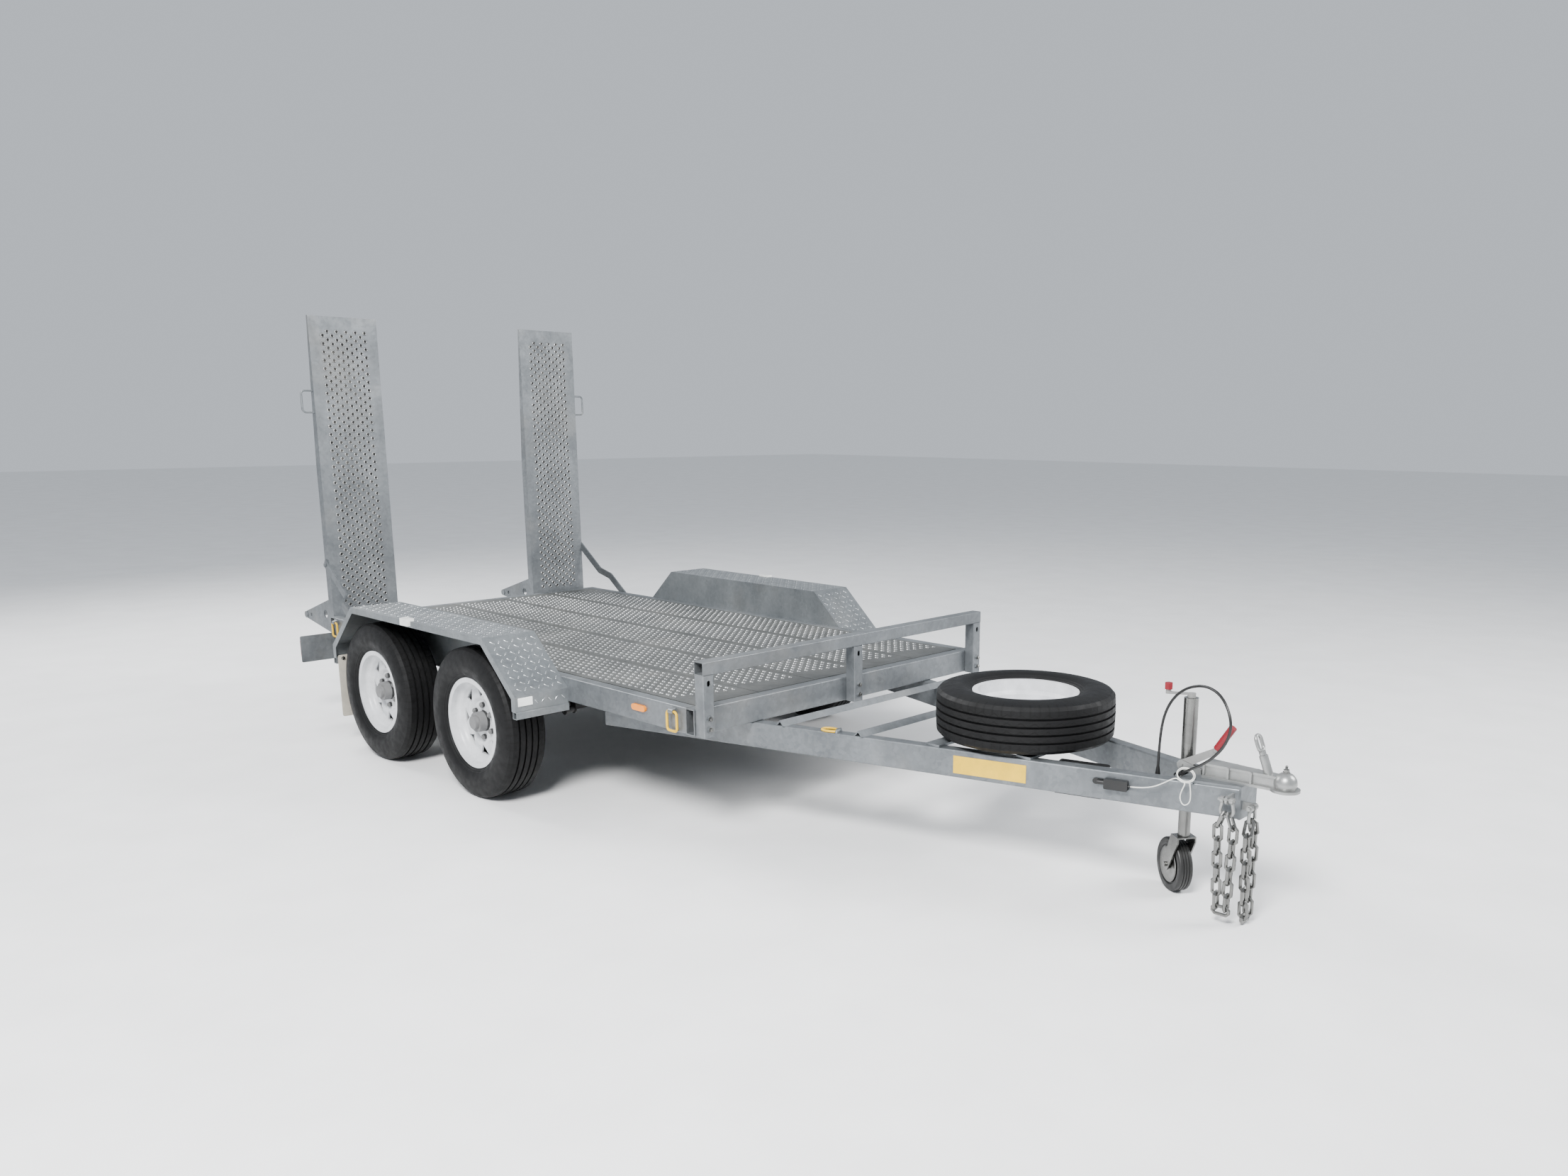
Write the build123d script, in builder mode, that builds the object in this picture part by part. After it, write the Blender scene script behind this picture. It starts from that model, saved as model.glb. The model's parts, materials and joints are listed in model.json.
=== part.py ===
"""Tandem-axle plant trailer with two upright loading ramps.

Millimetres. +X points forward to the coupling, +Y to the trailer's left, +Z up.
The origin is on the ground, under the middle of the overall length and width.
"""
from build123d import *
from math import atan2, cos, hypot, pi, radians, sin, tan
import os

os.makedirs("parts", exist_ok=True)

# Bed
BED_LENGTH = 3050
BED_WIDTH = 1640
DECK_HEIGHT = 545
RAMP_FOOT_REACH = 410

# Chassis tube
TUBE_HEIGHT = 100
TUBE_WIDTH = 50
TUBE_WALL = 4
TUBE_RADIUS = 6

# Deck planks and their bearers
PLANK_COUNT = 5
PLANK_GAP = 3
PLANK_SHEET = 2.5
PLANK_DEPTH = 40
BEARER_COUNT = 6
BEARER_WIDTH = 50
BEARER_SHEET = 4

# Loading rail
LOADING_RAIL_SIDE = 50
LOADING_RAIL_WALL = 3
LOADING_RAIL_TOP = DECK_HEIGHT + 181
LOADING_RAIL_LENGTH = 1630
DRAIN_HOLE_RADIUS = 7

# Drawbar
DRAWBAR_REAR_SETBACK = 712
DRAWBAR_REAR_HALF_WIDTH = 721
DRAWBAR_NOSE = 1750
DRAWBAR_NOSE_HALF_WIDTH = 57
NOSE_PLATE_THICKNESS = 8
NOSE_PLATE_LENGTH = 190
ANGLE_LEG = 30
ANGLE_SHEET = 4
ANGLE_SETBACKS = (110, 434)
SPARE_BEARER_WIDTH = 60
SPARE_BEARER_THICKNESS = 9
SPARE_BEARER_SPACING = 330
SPARE_WHEEL = 884
SPARE_SEAT_GAP = 0.3

# Wheels
TYRE_RADIUS = 325
TYRE_HALF_WIDTH = 94
TYRE_WALL = 14
WHEEL_Y = 965
TANDEM_CENTRE = 1640
WHEEL_SPACING = 860
BEAD_SEAT_RADIUS = 178
RIM_FLANGE_RADIUS = 194
RIM_HALF_WIDTH = 74
RIM_SHEET = 4
DROP_CENTRE_RADIUS = 158
DISC_FACE = 8
DISC_SHEET = 6
BOLT_CIRCLE = 139.7
BOLT_COUNT = 6
STUD_RADIUS = 7
STUD_HOLE_RADIUS = 8
NUT_ACROSS_FLATS = 21
NUT_HEIGHT = 14
HUB_NOSE_RADIUS = 44
HUB_NOSE_LENGTH = 42
DRUM_RADIUS = 108
DRUM_WALL = 8
WINDOW_COUNT = 8
SPINDLE_RADIUS = 20
RUNNING_CLEARANCE = 0.05

# Axles and springs
AXLE_TUBE = 50
AXLE_WALL = 5
SPRING_HALF_LENGTH = 360
SPRING_WIDTH = 38
LEAF_THICKNESS = 7
LEAF_COUNT = 4
EYE_HEIGHT = DECK_HEIGHT - 143
EYE_RADIUS = 14
EYE_BOLT_RADIUS = 7
HANGER_SHEET = 5

# Mudguards
GUARD_TOP = DECK_HEIGHT + 166
GUARD_SLOPE_BOTTOM = DECK_HEIGHT - 42
GUARD_HEM = DECK_HEIGHT - 105
GUARD_HALF_TOP = 595
GUARD_SLOPE_RUN = WHEEL_SPACING / 2 + TYRE_RADIUS + 70 - GUARD_HALF_TOP
GUARD_OUTER_Y = 1062
GUARD_SHEET = 3
GUARD_LIP = 28
OUTRIGGER_SIDE = 30
OUTRIGGER_WALL = 3

# Ramps
RAMP_CENTRE_Y = 605
RAMP_WIDTH = 358
RAMP_BOTTOM = DECK_HEIGHT - 90
RAMP_TOP = RAMP_BOTTOM + 1645
RAMP_TAPER_START = RAMP_BOTTOM + 895
RAMP_FACE_GAP = 40
RAMP_DEPTH = 50
RAMP_TIP_DEPTH = 14
RAMP_SHEET = 4
RAMP_FLANGE = 25
RAMP_RUNG_COUNT = 6
HINGE_HEIGHT = DECK_HEIGHT - 55
HINGE_SETBACK = 65
HINGE_ROD_RADIUS = 10
HINGE_LUG_SHEET = 10
HINGE_LUG_RADIUS = 18
HINGE_LUG_GAP = 1.5
LUG_SLOT_CLEARANCE = 5
GUSSET_TOP = HINGE_HEIGHT + 135
GUSSET_BOTTOM = HINGE_HEIGHT - 45
GUSSET_SHEET = 6
FOOT_TUBE_RADIUS = 18
FOOT_TUBE_HEIGHT = HINGE_HEIGHT + 22
HANDLE_ROD_RADIUS = 5
HANDLE_LOW = HINGE_HEIGHT + 1122
HANDLE_HIGH = HANDLE_LOW + 110
HANDLE_REACH = 60

# Ramp stays
STAY_PIVOT_HEIGHT = HINGE_HEIGHT + 325
STAY_STUD_SETBACK = 345
STAY_STUD_HEIGHT = DECK_HEIGHT - 27
STAY_WIDTH = 40
STAY_SHEET = 8
STAY_SIDE_GAP = 0.5
STAY_RAIL_GAP = 6
STAY_PIN_RADIUS = 6
STAY_STUD_RADIUS = 8
STAY_NOTCH_CLEARANCE = 3

# Jockey wheel
JOCKEY = 1522
JOCKEY_Y = 36
JOCKEY_TUBE_RADIUS = 24
JOCKEY_TUBE_WALL = 3
JOCKEY_TUBE_TOP = DECK_HEIGHT + 145
JOCKEY_TUBE_BOTTOM = DECK_HEIGHT - 210
JOCKEY_LEG_RADIUS = 20.5
JOCKEY_LEG_WALL = 3
JOCKEY_LEG_TOP = JOCKEY_TUBE_TOP - 130
JOCKEY_LEG_BOTTOM = 214
JOCKEY_WHEEL_RADIUS = 93
JOCKEY_WHEEL_WIDTH = 50
JOCKEY_AXLE_RADIUS = 8
JOCKEY_TRAIL = 55
JOCKEY_SWIVEL = -36
YOKE_SHEET = 5
CRANK_REACH = 75

# Coupling and brake lever
BALL = 1874
BALL_HEIGHT = DECK_HEIGHT - 67
BALL_RADIUS = 25
BALL_CLEARANCE = 0.4
HEAD_RADIUS = 36
HEAD_LIP_RADIUS = 46
COUPLING_REAR = 1612
COUPLING_REAR_WIDTH = 84
COUPLING_NECK_WIDTH = 58
COUPLING_WALL = 8
COUPLING_HEIGHT = 46
LEVER_PIVOT = 1528
LEVER_PIVOT_HEIGHT = DECK_HEIGHT - 71

# Safety chains
LINK_LENGTH = 65
LINK_WIDTH = 36
LINK_ROD = 10
STRAND_LINKS = 7
NEAR_CHAIN = (1735, -103)
FAR_CHAIN = (1790, -40)
NEAR_PIN_HEIGHT = DECK_HEIGHT - 128
FAR_PIN_HEIGHT = DECK_HEIGHT - 155
CHAIN_LUG_SHEET = 8

# Lights, flaps and electrical boxes
LIGHT_BOARD_BOTTOM = DECK_HEIGHT - 225
LIGHT_BOARD_TOP = DECK_HEIGHT - 85
LIGHT_BOARD_REACH = 985
LIGHT_BOARD_SHEET = 3
FLAP_BOTTOM = 146
FLAP_SHEET = 5
FLAP_WIDTH = 205
SIDE_MARKER_SETBACK = 328
GUARD_LAMP_SETBACK = 1680
BATTERY_SETBACK = 1215
BATTERY_LENGTH = 175
BATTERY_DEPTH = 80
BATTERY_HEIGHT = 100
BATTERY_BOTTOM = DECK_HEIGHT - 217
SWITCH_SETBACK = 1372
SWITCH_LENGTH = 80
SWITCH_HEIGHT = 34
SWITCH_DEPTH = 22

# Datums worked out from the sizes above
NOSE_REACH = BALL + HEAD_LIP_RADIUS
FRONT_X = (BED_LENGTH + RAMP_FOOT_REACH - NOSE_REACH) / 2
REAR_X = FRONT_X - BED_LENGTH
HALF_WIDTH = BED_WIDTH / 2
RAIL_BOTTOM = DECK_HEIGHT - TUBE_HEIGHT
RAIL_MID = DECK_HEIGHT - TUBE_HEIGHT / 2
RAIL_CENTRE_Y = HALF_WIDTH - TUBE_WIDTH / 2
DRAWBAR_TOP = RAIL_BOTTOM
DRAWBAR_BOTTOM = DRAWBAR_TOP - TUBE_HEIGHT
TANDEM_X = FRONT_X - TANDEM_CENTRE
WHEEL_XS = {"front": TANDEM_X + WHEEL_SPACING / 2, "rear": TANDEM_X - WHEEL_SPACING / 2}
SIDES = {"left": 1, "right": -1}


def tube_profile(width, height, wall, radius):
    """Rounded hollow section, drawn in the sketch that calls it."""
    RectangleRounded(width, height, radius)
    RectangleRounded(width - 2 * wall, height - 2 * wall, max(radius - wall, 0.5), mode=Mode.SUBTRACT)


def side_view(y):
    """Plane seen from the trailer's right: local x is X, local y is Z, and the normal is -Y."""
    return Plane(origin=(0, y, 0), x_dir=(1, 0, 0), z_dir=(0, -1, 0))


def end_view(x):
    """Plane seen from the front: local x is Y, local y is Z, and the normal is +X."""
    return Plane(origin=(x, 0, 0), x_dir=(0, 1, 0), z_dir=(1, 0, 0))


# Side rails, between the two cross beams, each with the stud that a ramp stay hooks over
STUD_X = REAR_X + STAY_STUD_SETBACK
STUD_LENGTH = STAY_RAIL_GAP + STAY_SHEET + 3
STUD_HEAD_RADIUS = 14
STUD_HEAD_HEIGHT = 6
with BuildPart() as side_rails:
    with BuildSketch(end_view(REAR_X + TUBE_WIDTH)):
        for sign in SIDES.values():
            with Locations((sign * RAIL_CENTRE_Y, RAIL_MID)):
                tube_profile(TUBE_WIDTH, TUBE_HEIGHT, TUBE_WALL, TUBE_RADIUS)
    extrude(amount=BED_LENGTH - 2 * TUBE_WIDTH)
    for sign in SIDES.values():
        with BuildSketch(side_view(sign * (HALF_WIDTH - TUBE_WALL))):
            with Locations((STUD_X, STAY_STUD_HEIGHT)):
                Circle(STAY_STUD_RADIUS)
        extrude(amount=-sign * (TUBE_WALL + STUD_LENGTH + STUD_HEAD_HEIGHT))
        with BuildSketch(side_view(sign * (HALF_WIDTH + STUD_LENGTH))):
            with Locations((STUD_X, STAY_STUD_HEIGHT)):
                Circle(STUD_HEAD_RADIUS)
        extrude(amount=-sign * STUD_HEAD_HEIGHT)
side_rails.part.label = "side_rails"
export_step(side_rails.part, "parts/side_rails.step")

# Front beam, open at both ends
with BuildPart() as front_beam:
    with BuildSketch(side_view(0)):
        with Locations((FRONT_X - TUBE_WIDTH / 2, RAIL_MID)):
            tube_profile(TUBE_WIDTH, TUBE_HEIGHT, TUBE_WALL, TUBE_RADIUS)
    extrude(amount=HALF_WIDTH, both=True)
front_beam.part.label = "front_beam"
export_step(front_beam.part, "parts/front_beam.step")

# Rear beam, with the ramp hinge lugs on its back face
HINGE_X = REAR_X - HINGE_SETBACK
LUG_OFFSET = RAMP_WIDTH / 2 - GUSSET_SHEET - HINGE_LUG_GAP - HINGE_LUG_SHEET / 2
LUG_YS = [side * RAMP_CENTRE_Y + edge * LUG_OFFSET for side in (-1, 1) for edge in (-1, 1)]
with BuildPart() as rear_beam:
    with BuildSketch(side_view(0)):
        with Locations((REAR_X + TUBE_WIDTH / 2, RAIL_MID)):
            tube_profile(TUBE_WIDTH, TUBE_HEIGHT, TUBE_WALL, TUBE_RADIUS)
    extrude(amount=HALF_WIDTH, both=True)
    for lug_y in LUG_YS:
        with BuildSketch(side_view(lug_y)):
            with Locations((HINGE_X, HINGE_HEIGHT)):
                Circle(HINGE_LUG_RADIUS)
                Rectangle(HINGE_SETBACK, 2 * HINGE_LUG_RADIUS, align=(Align.MIN, Align.CENTER))
                Circle(HINGE_ROD_RADIUS + RUNNING_CLEARANCE, mode=Mode.SUBTRACT)
        extrude(amount=HINGE_LUG_SHEET / 2, both=True)
rear_beam.part.label = "rear_beam"
export_step(rear_beam.part, "parts/rear_beam.step")

# Deck bearers: upturned channels between the side rails, under the planks
BEARER_TOP = DECK_HEIGHT - PLANK_DEPTH
BEARER_SPAN = BED_WIDTH - 2 * TUBE_WIDTH
BEARER_HEIGHT = BEARER_TOP - RAIL_BOTTOM
BEARER_PITCH = (BED_LENGTH - 2 * TUBE_WIDTH - BEARER_WIDTH) / (BEARER_COUNT - 1)
BEARER_XS = [REAR_X + TUBE_WIDTH + BEARER_WIDTH / 2 + i * BEARER_PITCH for i in range(BEARER_COUNT)]
with BuildPart() as deck_bearers:
    for bearer_x in BEARER_XS:
        with BuildSketch(side_view(0)):
            with Locations((bearer_x, RAIL_BOTTOM)):
                Rectangle(BEARER_WIDTH, BEARER_HEIGHT, align=(Align.CENTER, Align.MIN))
                Rectangle(BEARER_WIDTH - 2 * BEARER_SHEET, BEARER_HEIGHT - BEARER_SHEET,
                          align=(Align.CENTER, Align.MIN), mode=Mode.SUBTRACT)
        extrude(amount=BEARER_SPAN / 2, both=True)
deck_bearers.part.label = "deck_bearers"
export_step(deck_bearers.part, "parts/deck_bearers.step")

# Deck planks: pressed channels laid lengthwise, flush with the side rails
DECK_SPAN = BED_WIDTH - 2 * TUBE_WIDTH
DECK_RUN = BED_LENGTH - 2 * TUBE_WIDTH
PLANK_WIDTH = (DECK_SPAN - (PLANK_COUNT + 1) * PLANK_GAP) / PLANK_COUNT
with BuildPart() as deck_planks:
    with BuildSketch(end_view(REAR_X + TUBE_WIDTH + PLANK_GAP)):
        with Locations((0, DECK_HEIGHT - PLANK_DEPTH / 2)):
            with GridLocations(PLANK_WIDTH + PLANK_GAP, 0, PLANK_COUNT, 1):
                Rectangle(PLANK_WIDTH, PLANK_DEPTH)
        with Locations((0, DECK_HEIGHT - PLANK_SHEET - PLANK_DEPTH / 2)):
            with GridLocations(PLANK_WIDTH + PLANK_GAP, 0, PLANK_COUNT, 1):
                Rectangle(PLANK_WIDTH - 2 * PLANK_SHEET, PLANK_DEPTH, mode=Mode.SUBTRACT)
    extrude(amount=DECK_RUN - 2 * PLANK_GAP)
deck_planks.part.label = "deck_planks"
export_step(deck_planks.part, "parts/deck_planks.step")

# Loading rail across the front, on three posts that bolt to the front beam
with BuildPart() as loading_rail:
    with BuildSketch(side_view(0)):
        with Locations((FRONT_X + LOADING_RAIL_SIDE / 2, LOADING_RAIL_TOP - LOADING_RAIL_SIDE / 2)):
            tube_profile(LOADING_RAIL_SIDE, LOADING_RAIL_SIDE, LOADING_RAIL_WALL, 4)
    extrude(amount=LOADING_RAIL_LENGTH / 2, both=True)
loading_rail.part.label = "loading_rail"
export_step(loading_rail.part, "parts/loading_rail.step")

POST_PITCH = (LOADING_RAIL_LENGTH - LOADING_RAIL_SIDE) / 2
POST_HEIGHT = LOADING_RAIL_TOP - LOADING_RAIL_SIDE - RAIL_BOTTOM
POST_BOLT_HEIGHTS = (RAIL_BOTTOM + 28, RAIL_BOTTOM + 72)
with BuildPart() as loading_rail_posts:
    with BuildSketch(Plane.XY.offset(RAIL_BOTTOM)):
        with Locations((FRONT_X + LOADING_RAIL_SIDE / 2, 0)):
            with GridLocations(0, POST_PITCH, 1, 3):
                RectangleRounded(LOADING_RAIL_SIDE, LOADING_RAIL_SIDE, 4)
                Rectangle(LOADING_RAIL_SIDE - 2 * LOADING_RAIL_WALL,
                          LOADING_RAIL_SIDE - 2 * LOADING_RAIL_WALL, mode=Mode.SUBTRACT)
    extrude(amount=POST_HEIGHT)
    with BuildSketch(end_view(FRONT_X + LOADING_RAIL_SIDE)):
        with Locations((0, LOADING_RAIL_TOP - LOADING_RAIL_SIDE - 30)):
            with GridLocations(POST_PITCH, 0, 3, 1):
                SlotCenterToCenter(8, 2 * DRAIN_HOLE_RADIUS, rotation=90)
    extrude(amount=-LOADING_RAIL_WALL - 1, mode=Mode.SUBTRACT)
    with BuildSketch(end_view(FRONT_X + LOADING_RAIL_SIDE)):
        for bolt_height in POST_BOLT_HEIGHTS:
            with Locations((0, bolt_height)):
                with GridLocations(POST_PITCH, 0, 3, 1):
                    RegularPolygon(10, 6)
    extrude(amount=7)
loading_rail_posts.part.label = "loading_rail_posts"
export_step(loading_rail_posts.part, "parts/loading_rail_posts.step")

# Drawbar: two tubes under the bed that meet at the nose
DRAWBAR_RUN = DRAWBAR_NOSE + DRAWBAR_REAR_SETBACK
DRAWBAR_NARROWING = DRAWBAR_REAR_HALF_WIDTH - DRAWBAR_NOSE_HALF_WIDTH
DRAWBAR_ANGLE = atan2(DRAWBAR_NARROWING, DRAWBAR_RUN)
DRAWBAR_SKEW_WIDTH = TUBE_WIDTH / cos(DRAWBAR_ANGLE)
DRAWBAR_REAR_X = FRONT_X - DRAWBAR_REAR_SETBACK
DRAWBAR_NOSE_X = FRONT_X + DRAWBAR_NOSE


def drawbar_outer_y(x):
    """Distance from the centre line to a drawbar tube's outer face."""
    return DRAWBAR_NOSE_HALF_WIDTH + (DRAWBAR_NOSE_X - x) * tan(DRAWBAR_ANGLE)


def drawbar_inner_y(x):
    return drawbar_outer_y(x) - DRAWBAR_SKEW_WIDTH


with BuildPart() as drawbar:
    for sign in SIDES.values():
        start = (DRAWBAR_REAR_X, sign * (DRAWBAR_REAR_HALF_WIDTH - DRAWBAR_SKEW_WIDTH / 2),
                 DRAWBAR_TOP - TUBE_HEIGHT / 2)
        heading = (cos(DRAWBAR_ANGLE), -sign * sin(DRAWBAR_ANGLE), 0)
        with BuildSketch(Plane(origin=start, x_dir=(sign * sin(DRAWBAR_ANGLE), cos(DRAWBAR_ANGLE), 0),
                               z_dir=heading)):
            tube_profile(TUBE_WIDTH, TUBE_HEIGHT, TUBE_WALL, TUBE_RADIUS)
        extrude(amount=DRAWBAR_RUN / cos(DRAWBAR_ANGLE) + TUBE_WIDTH)
    with BuildSketch(Plane.XY.offset(DRAWBAR_BOTTOM)):
        with Locations((DRAWBAR_NOSE_X, 0)):
            Rectangle(2 * TUBE_WIDTH, 4 * TUBE_WIDTH, align=(Align.MIN, Align.CENTER))
    extrude(amount=TUBE_HEIGHT, mode=Mode.SUBTRACT)
drawbar.part.label = "drawbar"
export_step(drawbar.part, "parts/drawbar.step")

# Nose plate under the coupling, with a chain lug below each side
NOSE_PLATE_TOP = DRAWBAR_TOP + NOSE_PLATE_THICKNESS
NOSE_PLATE_REAR_X = DRAWBAR_NOSE_X - NOSE_PLATE_LENGTH
with BuildPart() as nose_plate:
    with BuildSketch(Plane.XY.offset(DRAWBAR_TOP)):
        with BuildLine():
            Polyline(
                (NOSE_PLATE_REAR_X, drawbar_outer_y(NOSE_PLATE_REAR_X) - 4),
                (DRAWBAR_NOSE_X, DRAWBAR_NOSE_HALF_WIDTH - 4),
                (DRAWBAR_NOSE_X, -DRAWBAR_NOSE_HALF_WIDTH + 4),
                (NOSE_PLATE_REAR_X, -drawbar_outer_y(NOSE_PLATE_REAR_X) + 4),
                close=True,
            )
        make_face()
    extrude(amount=NOSE_PLATE_THICKNESS)
    with BuildSketch(end_view(DRAWBAR_NOSE_X)):
        with Locations((0, DRAWBAR_BOTTOM)):
            Rectangle(2 * DRAWBAR_NOSE_HALF_WIDTH, TUBE_HEIGHT + NOSE_PLATE_THICKNESS,
                      align=(Align.CENTER, Align.MIN))
    extrude(amount=NOSE_PLATE_THICKNESS)
nose_plate.part.label = "nose_plate"
export_step(nose_plate.part, "parts/nose_plate.step")

# Cross members on the drawbar: two inverted angles, and two flats that carry the spare wheel
SPARE_X = FRONT_X + SPARE_WHEEL
SPARE_BEARER_TOP = DRAWBAR_TOP + SPARE_BEARER_THICKNESS
SPARE_CENTRE_HEIGHT = SPARE_BEARER_TOP + TYRE_HALF_WIDTH + SPARE_SEAT_GAP
ANGLE_FOOT = ANGLE_LEG / 2 ** 0.5
ANGLE_INNER_FOOT = ANGLE_FOOT - ANGLE_SHEET * 2 ** 0.5
with BuildPart() as drawbar_cross_members:
    for setback in ANGLE_SETBACKS:
        angle_x = FRONT_X + setback
        with BuildSketch(side_view(0)):
            with BuildLine():
                Polyline(
                    (angle_x - ANGLE_FOOT, DRAWBAR_TOP),
                    (angle_x, DRAWBAR_TOP + ANGLE_FOOT),
                    (angle_x + ANGLE_FOOT, DRAWBAR_TOP),
                    (angle_x + ANGLE_INNER_FOOT, DRAWBAR_TOP),
                    (angle_x, DRAWBAR_TOP + ANGLE_INNER_FOOT),
                    (angle_x - ANGLE_INNER_FOOT, DRAWBAR_TOP),
                    close=True,
                )
            make_face()
        extrude(amount=drawbar_outer_y(angle_x), both=True)
    for shift in (-SPARE_BEARER_SPACING / 2, SPARE_BEARER_SPACING / 2):
        bearer_x = SPARE_X + shift
        with BuildSketch(Plane.XY.offset(DRAWBAR_TOP)):
            with Locations((bearer_x, 0)):
                Rectangle(SPARE_BEARER_WIDTH, 2 * drawbar_outer_y(bearer_x + SPARE_BEARER_WIDTH / 2))
        extrude(amount=SPARE_BEARER_THICKNESS)
drawbar_cross_members.part.label = "drawbar_cross_members"
export_step(drawbar_cross_members.part, "parts/drawbar_cross_members.step")
# Wheels: a tyre on a dished steel rim, with the hub and drum it is bolted to
SEAT_GAP = 0.3
BEAD_HALF_WIDTH = RIM_HALF_WIDTH - RIM_SHEET - SEAT_GAP
BEAD_RADIUS = BEAD_SEAT_RADIUS + SEAT_GAP
TREAD_HALF_WIDTH = 70
SHOULDER_DROP = 14
GROOVE_WIDTH = 8
GROOVE_DEPTH = 9
GROOVE_SPACING = 28
GROOVE_COUNT = 4
WAIST_RADIUS = (BEAD_SEAT_RADIUS + TYRE_RADIUS) / 2 - 4
BARREL_INSIDE = DROP_CENTRE_RADIUS - RIM_SHEET
DISC_OUTER = DISC_FACE + DISC_SHEET
DISC_FLAT_RADIUS = 92
WINDOW_INNER = 108
WINDOW_OUTER = 136
WINDOW_WIDTH = 52
HUB_BORE_RADIUS = SPINDLE_RADIUS + RUNNING_CLEARANCE
HUB_FLANGE = 10
CAP_RADIUS = 30
CAP_LENGTH = 14
DRUM_INNER_END = -70


def wheel_section_plane(centre, outward):
    """Section plane of a wheel: local x runs out along the axle, local y is the radius."""
    return Plane(origin=centre, x_dir=outward, z_dir=outward.cross(section_up(outward)))


def section_up(outward):
    """A direction square to the axle: up for a standing wheel, forward for a lying one."""
    return Vector(1, 0, 0) if abs(outward.Z) > 0.5 else Vector(0, 0, 1)


def wheel_face_plane(centre, outward, distance=0.0):
    """Plane square to the axle, at a distance outward from the wheel's centre."""
    return Plane(origin=centre + outward * distance, x_dir=section_up(outward), z_dir=outward)


def make_tyre(centre, outward):
    """Hollow road tyre with a rounded section and circumferential tread grooves."""
    inside = TYRE_HALF_WIDTH - TYRE_WALL
    tread_edge = (TREAD_HALF_WIDTH, TYRE_RADIUS - 3)
    shoulder = (TREAD_HALF_WIDTH + 12, TYRE_RADIUS - SHOULDER_DROP)
    inner_shoulder = (TREAD_HALF_WIDTH - 6, TYRE_RADIUS - TYRE_WALL - SHOULDER_DROP)
    with BuildPart() as tyre:
        with BuildSketch(wheel_section_plane(centre, outward)):
            with BuildLine():
                ThreePointArc((0, TYRE_RADIUS), (TREAD_HALF_WIDTH / 2, TYRE_RADIUS - 0.75), tread_edge)
                Line(tread_edge, shoulder)
                TangentArc((TYRE_HALF_WIDTH, WAIST_RADIUS), shoulder, tangent=(0, 1))
                TangentArc((TYRE_HALF_WIDTH, WAIST_RADIUS), (BEAD_HALF_WIDTH, RIM_FLANGE_RADIUS + 1),
                           tangent=(0, -1))
                Line((BEAD_HALF_WIDTH, RIM_FLANGE_RADIUS + 1), (BEAD_HALF_WIDTH, BEAD_RADIUS))
                Line((BEAD_HALF_WIDTH, BEAD_RADIUS), (BEAD_HALF_WIDTH - TYRE_WALL, BEAD_RADIUS))
                TangentArc((inside, WAIST_RADIUS), (BEAD_HALF_WIDTH - TYRE_WALL, BEAD_RADIUS), tangent=(0, -1))
                TangentArc((inside, WAIST_RADIUS), inner_shoulder, tangent=(0, 1))
                Line(inner_shoulder, (0, TYRE_RADIUS - TYRE_WALL - GROOVE_DEPTH))
                Line((0, TYRE_RADIUS - TYRE_WALL - GROOVE_DEPTH), (0, TYRE_RADIUS))
            make_face()
            mirror(about=Plane.YZ)
            with Locations((0, TYRE_RADIUS)):
                with GridLocations(GROOVE_SPACING, 0, GROOVE_COUNT, 1):
                    Rectangle(GROOVE_WIDTH, 2 * GROOVE_DEPTH, mode=Mode.SUBTRACT)
        revolve(axis=Axis(centre, outward))
    return tyre.part


def make_rim(centre, outward):
    """Steel rim: barrel with flanges and drop centre, and a dished disc with windows."""
    flange = (RIM_HALF_WIDTH, RIM_FLANGE_RADIUS)
    seat_edge = (RIM_HALF_WIDTH, BEAD_SEAT_RADIUS - RIM_SHEET)
    with BuildPart() as rim:
        with BuildSketch(wheel_section_plane(centre, outward)):
            with BuildLine():
                Polyline(
                    flange,
                    seat_edge,
                    (44, BEAD_SEAT_RADIUS - RIM_SHEET - 2),
                    (32, BARREL_INSIDE),
                    (-22, BARREL_INSIDE),
                    (-34, BEAD_SEAT_RADIUS - RIM_SHEET - 2),
                    (-seat_edge[0], seat_edge[1]),
                    (-flange[0], flange[1]),
                )
                offset(amount=RIM_SHEET, side=Side.RIGHT)
            make_face()
            with BuildLine():
                Polyline(
                    (DISC_FACE, HUB_NOSE_RADIUS + 1),
                    (DISC_FACE, DISC_FLAT_RADIUS),
                    (DISC_FACE + 14, DISC_FLAT_RADIUS + 12),
                    (DISC_FACE + 4, BARREL_INSIDE - 4),
                    (DISC_FACE - 18, BARREL_INSIDE - 1),
                    (DISC_FACE - 18, BARREL_INSIDE + 1),
                    (DISC_FACE + 4 + DISC_SHEET, BARREL_INSIDE + 1),
                    (DISC_FACE + 14 + DISC_SHEET, DISC_FLAT_RADIUS + 12),
                    (DISC_OUTER, DISC_FLAT_RADIUS - 4),
                    (DISC_OUTER, HUB_NOSE_RADIUS + 1),
                    close=True,
                )
            make_face()
        revolve(axis=Axis(centre, outward))
        with BuildSketch(wheel_face_plane(centre, outward, DISC_FACE - 20)):
            with PolarLocations(0, WINDOW_COUNT):
                with BuildLine():
                    Polyline(
                        (WINDOW_INNER, 0),
                        (WINDOW_OUTER, WINDOW_WIDTH / 2),
                        (WINDOW_OUTER, -WINDOW_WIDTH / 2),
                        close=True,
                    )
                make_face()
        extrude(amount=60, mode=Mode.SUBTRACT)
        with BuildSketch(wheel_face_plane(centre, outward, DISC_FACE - 1)):
            with PolarLocations(BOLT_CIRCLE / 2, BOLT_COUNT):
                Circle(STUD_HOLE_RADIUS)
        extrude(amount=DISC_SHEET + 2, mode=Mode.SUBTRACT)
    return rim.part


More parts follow.
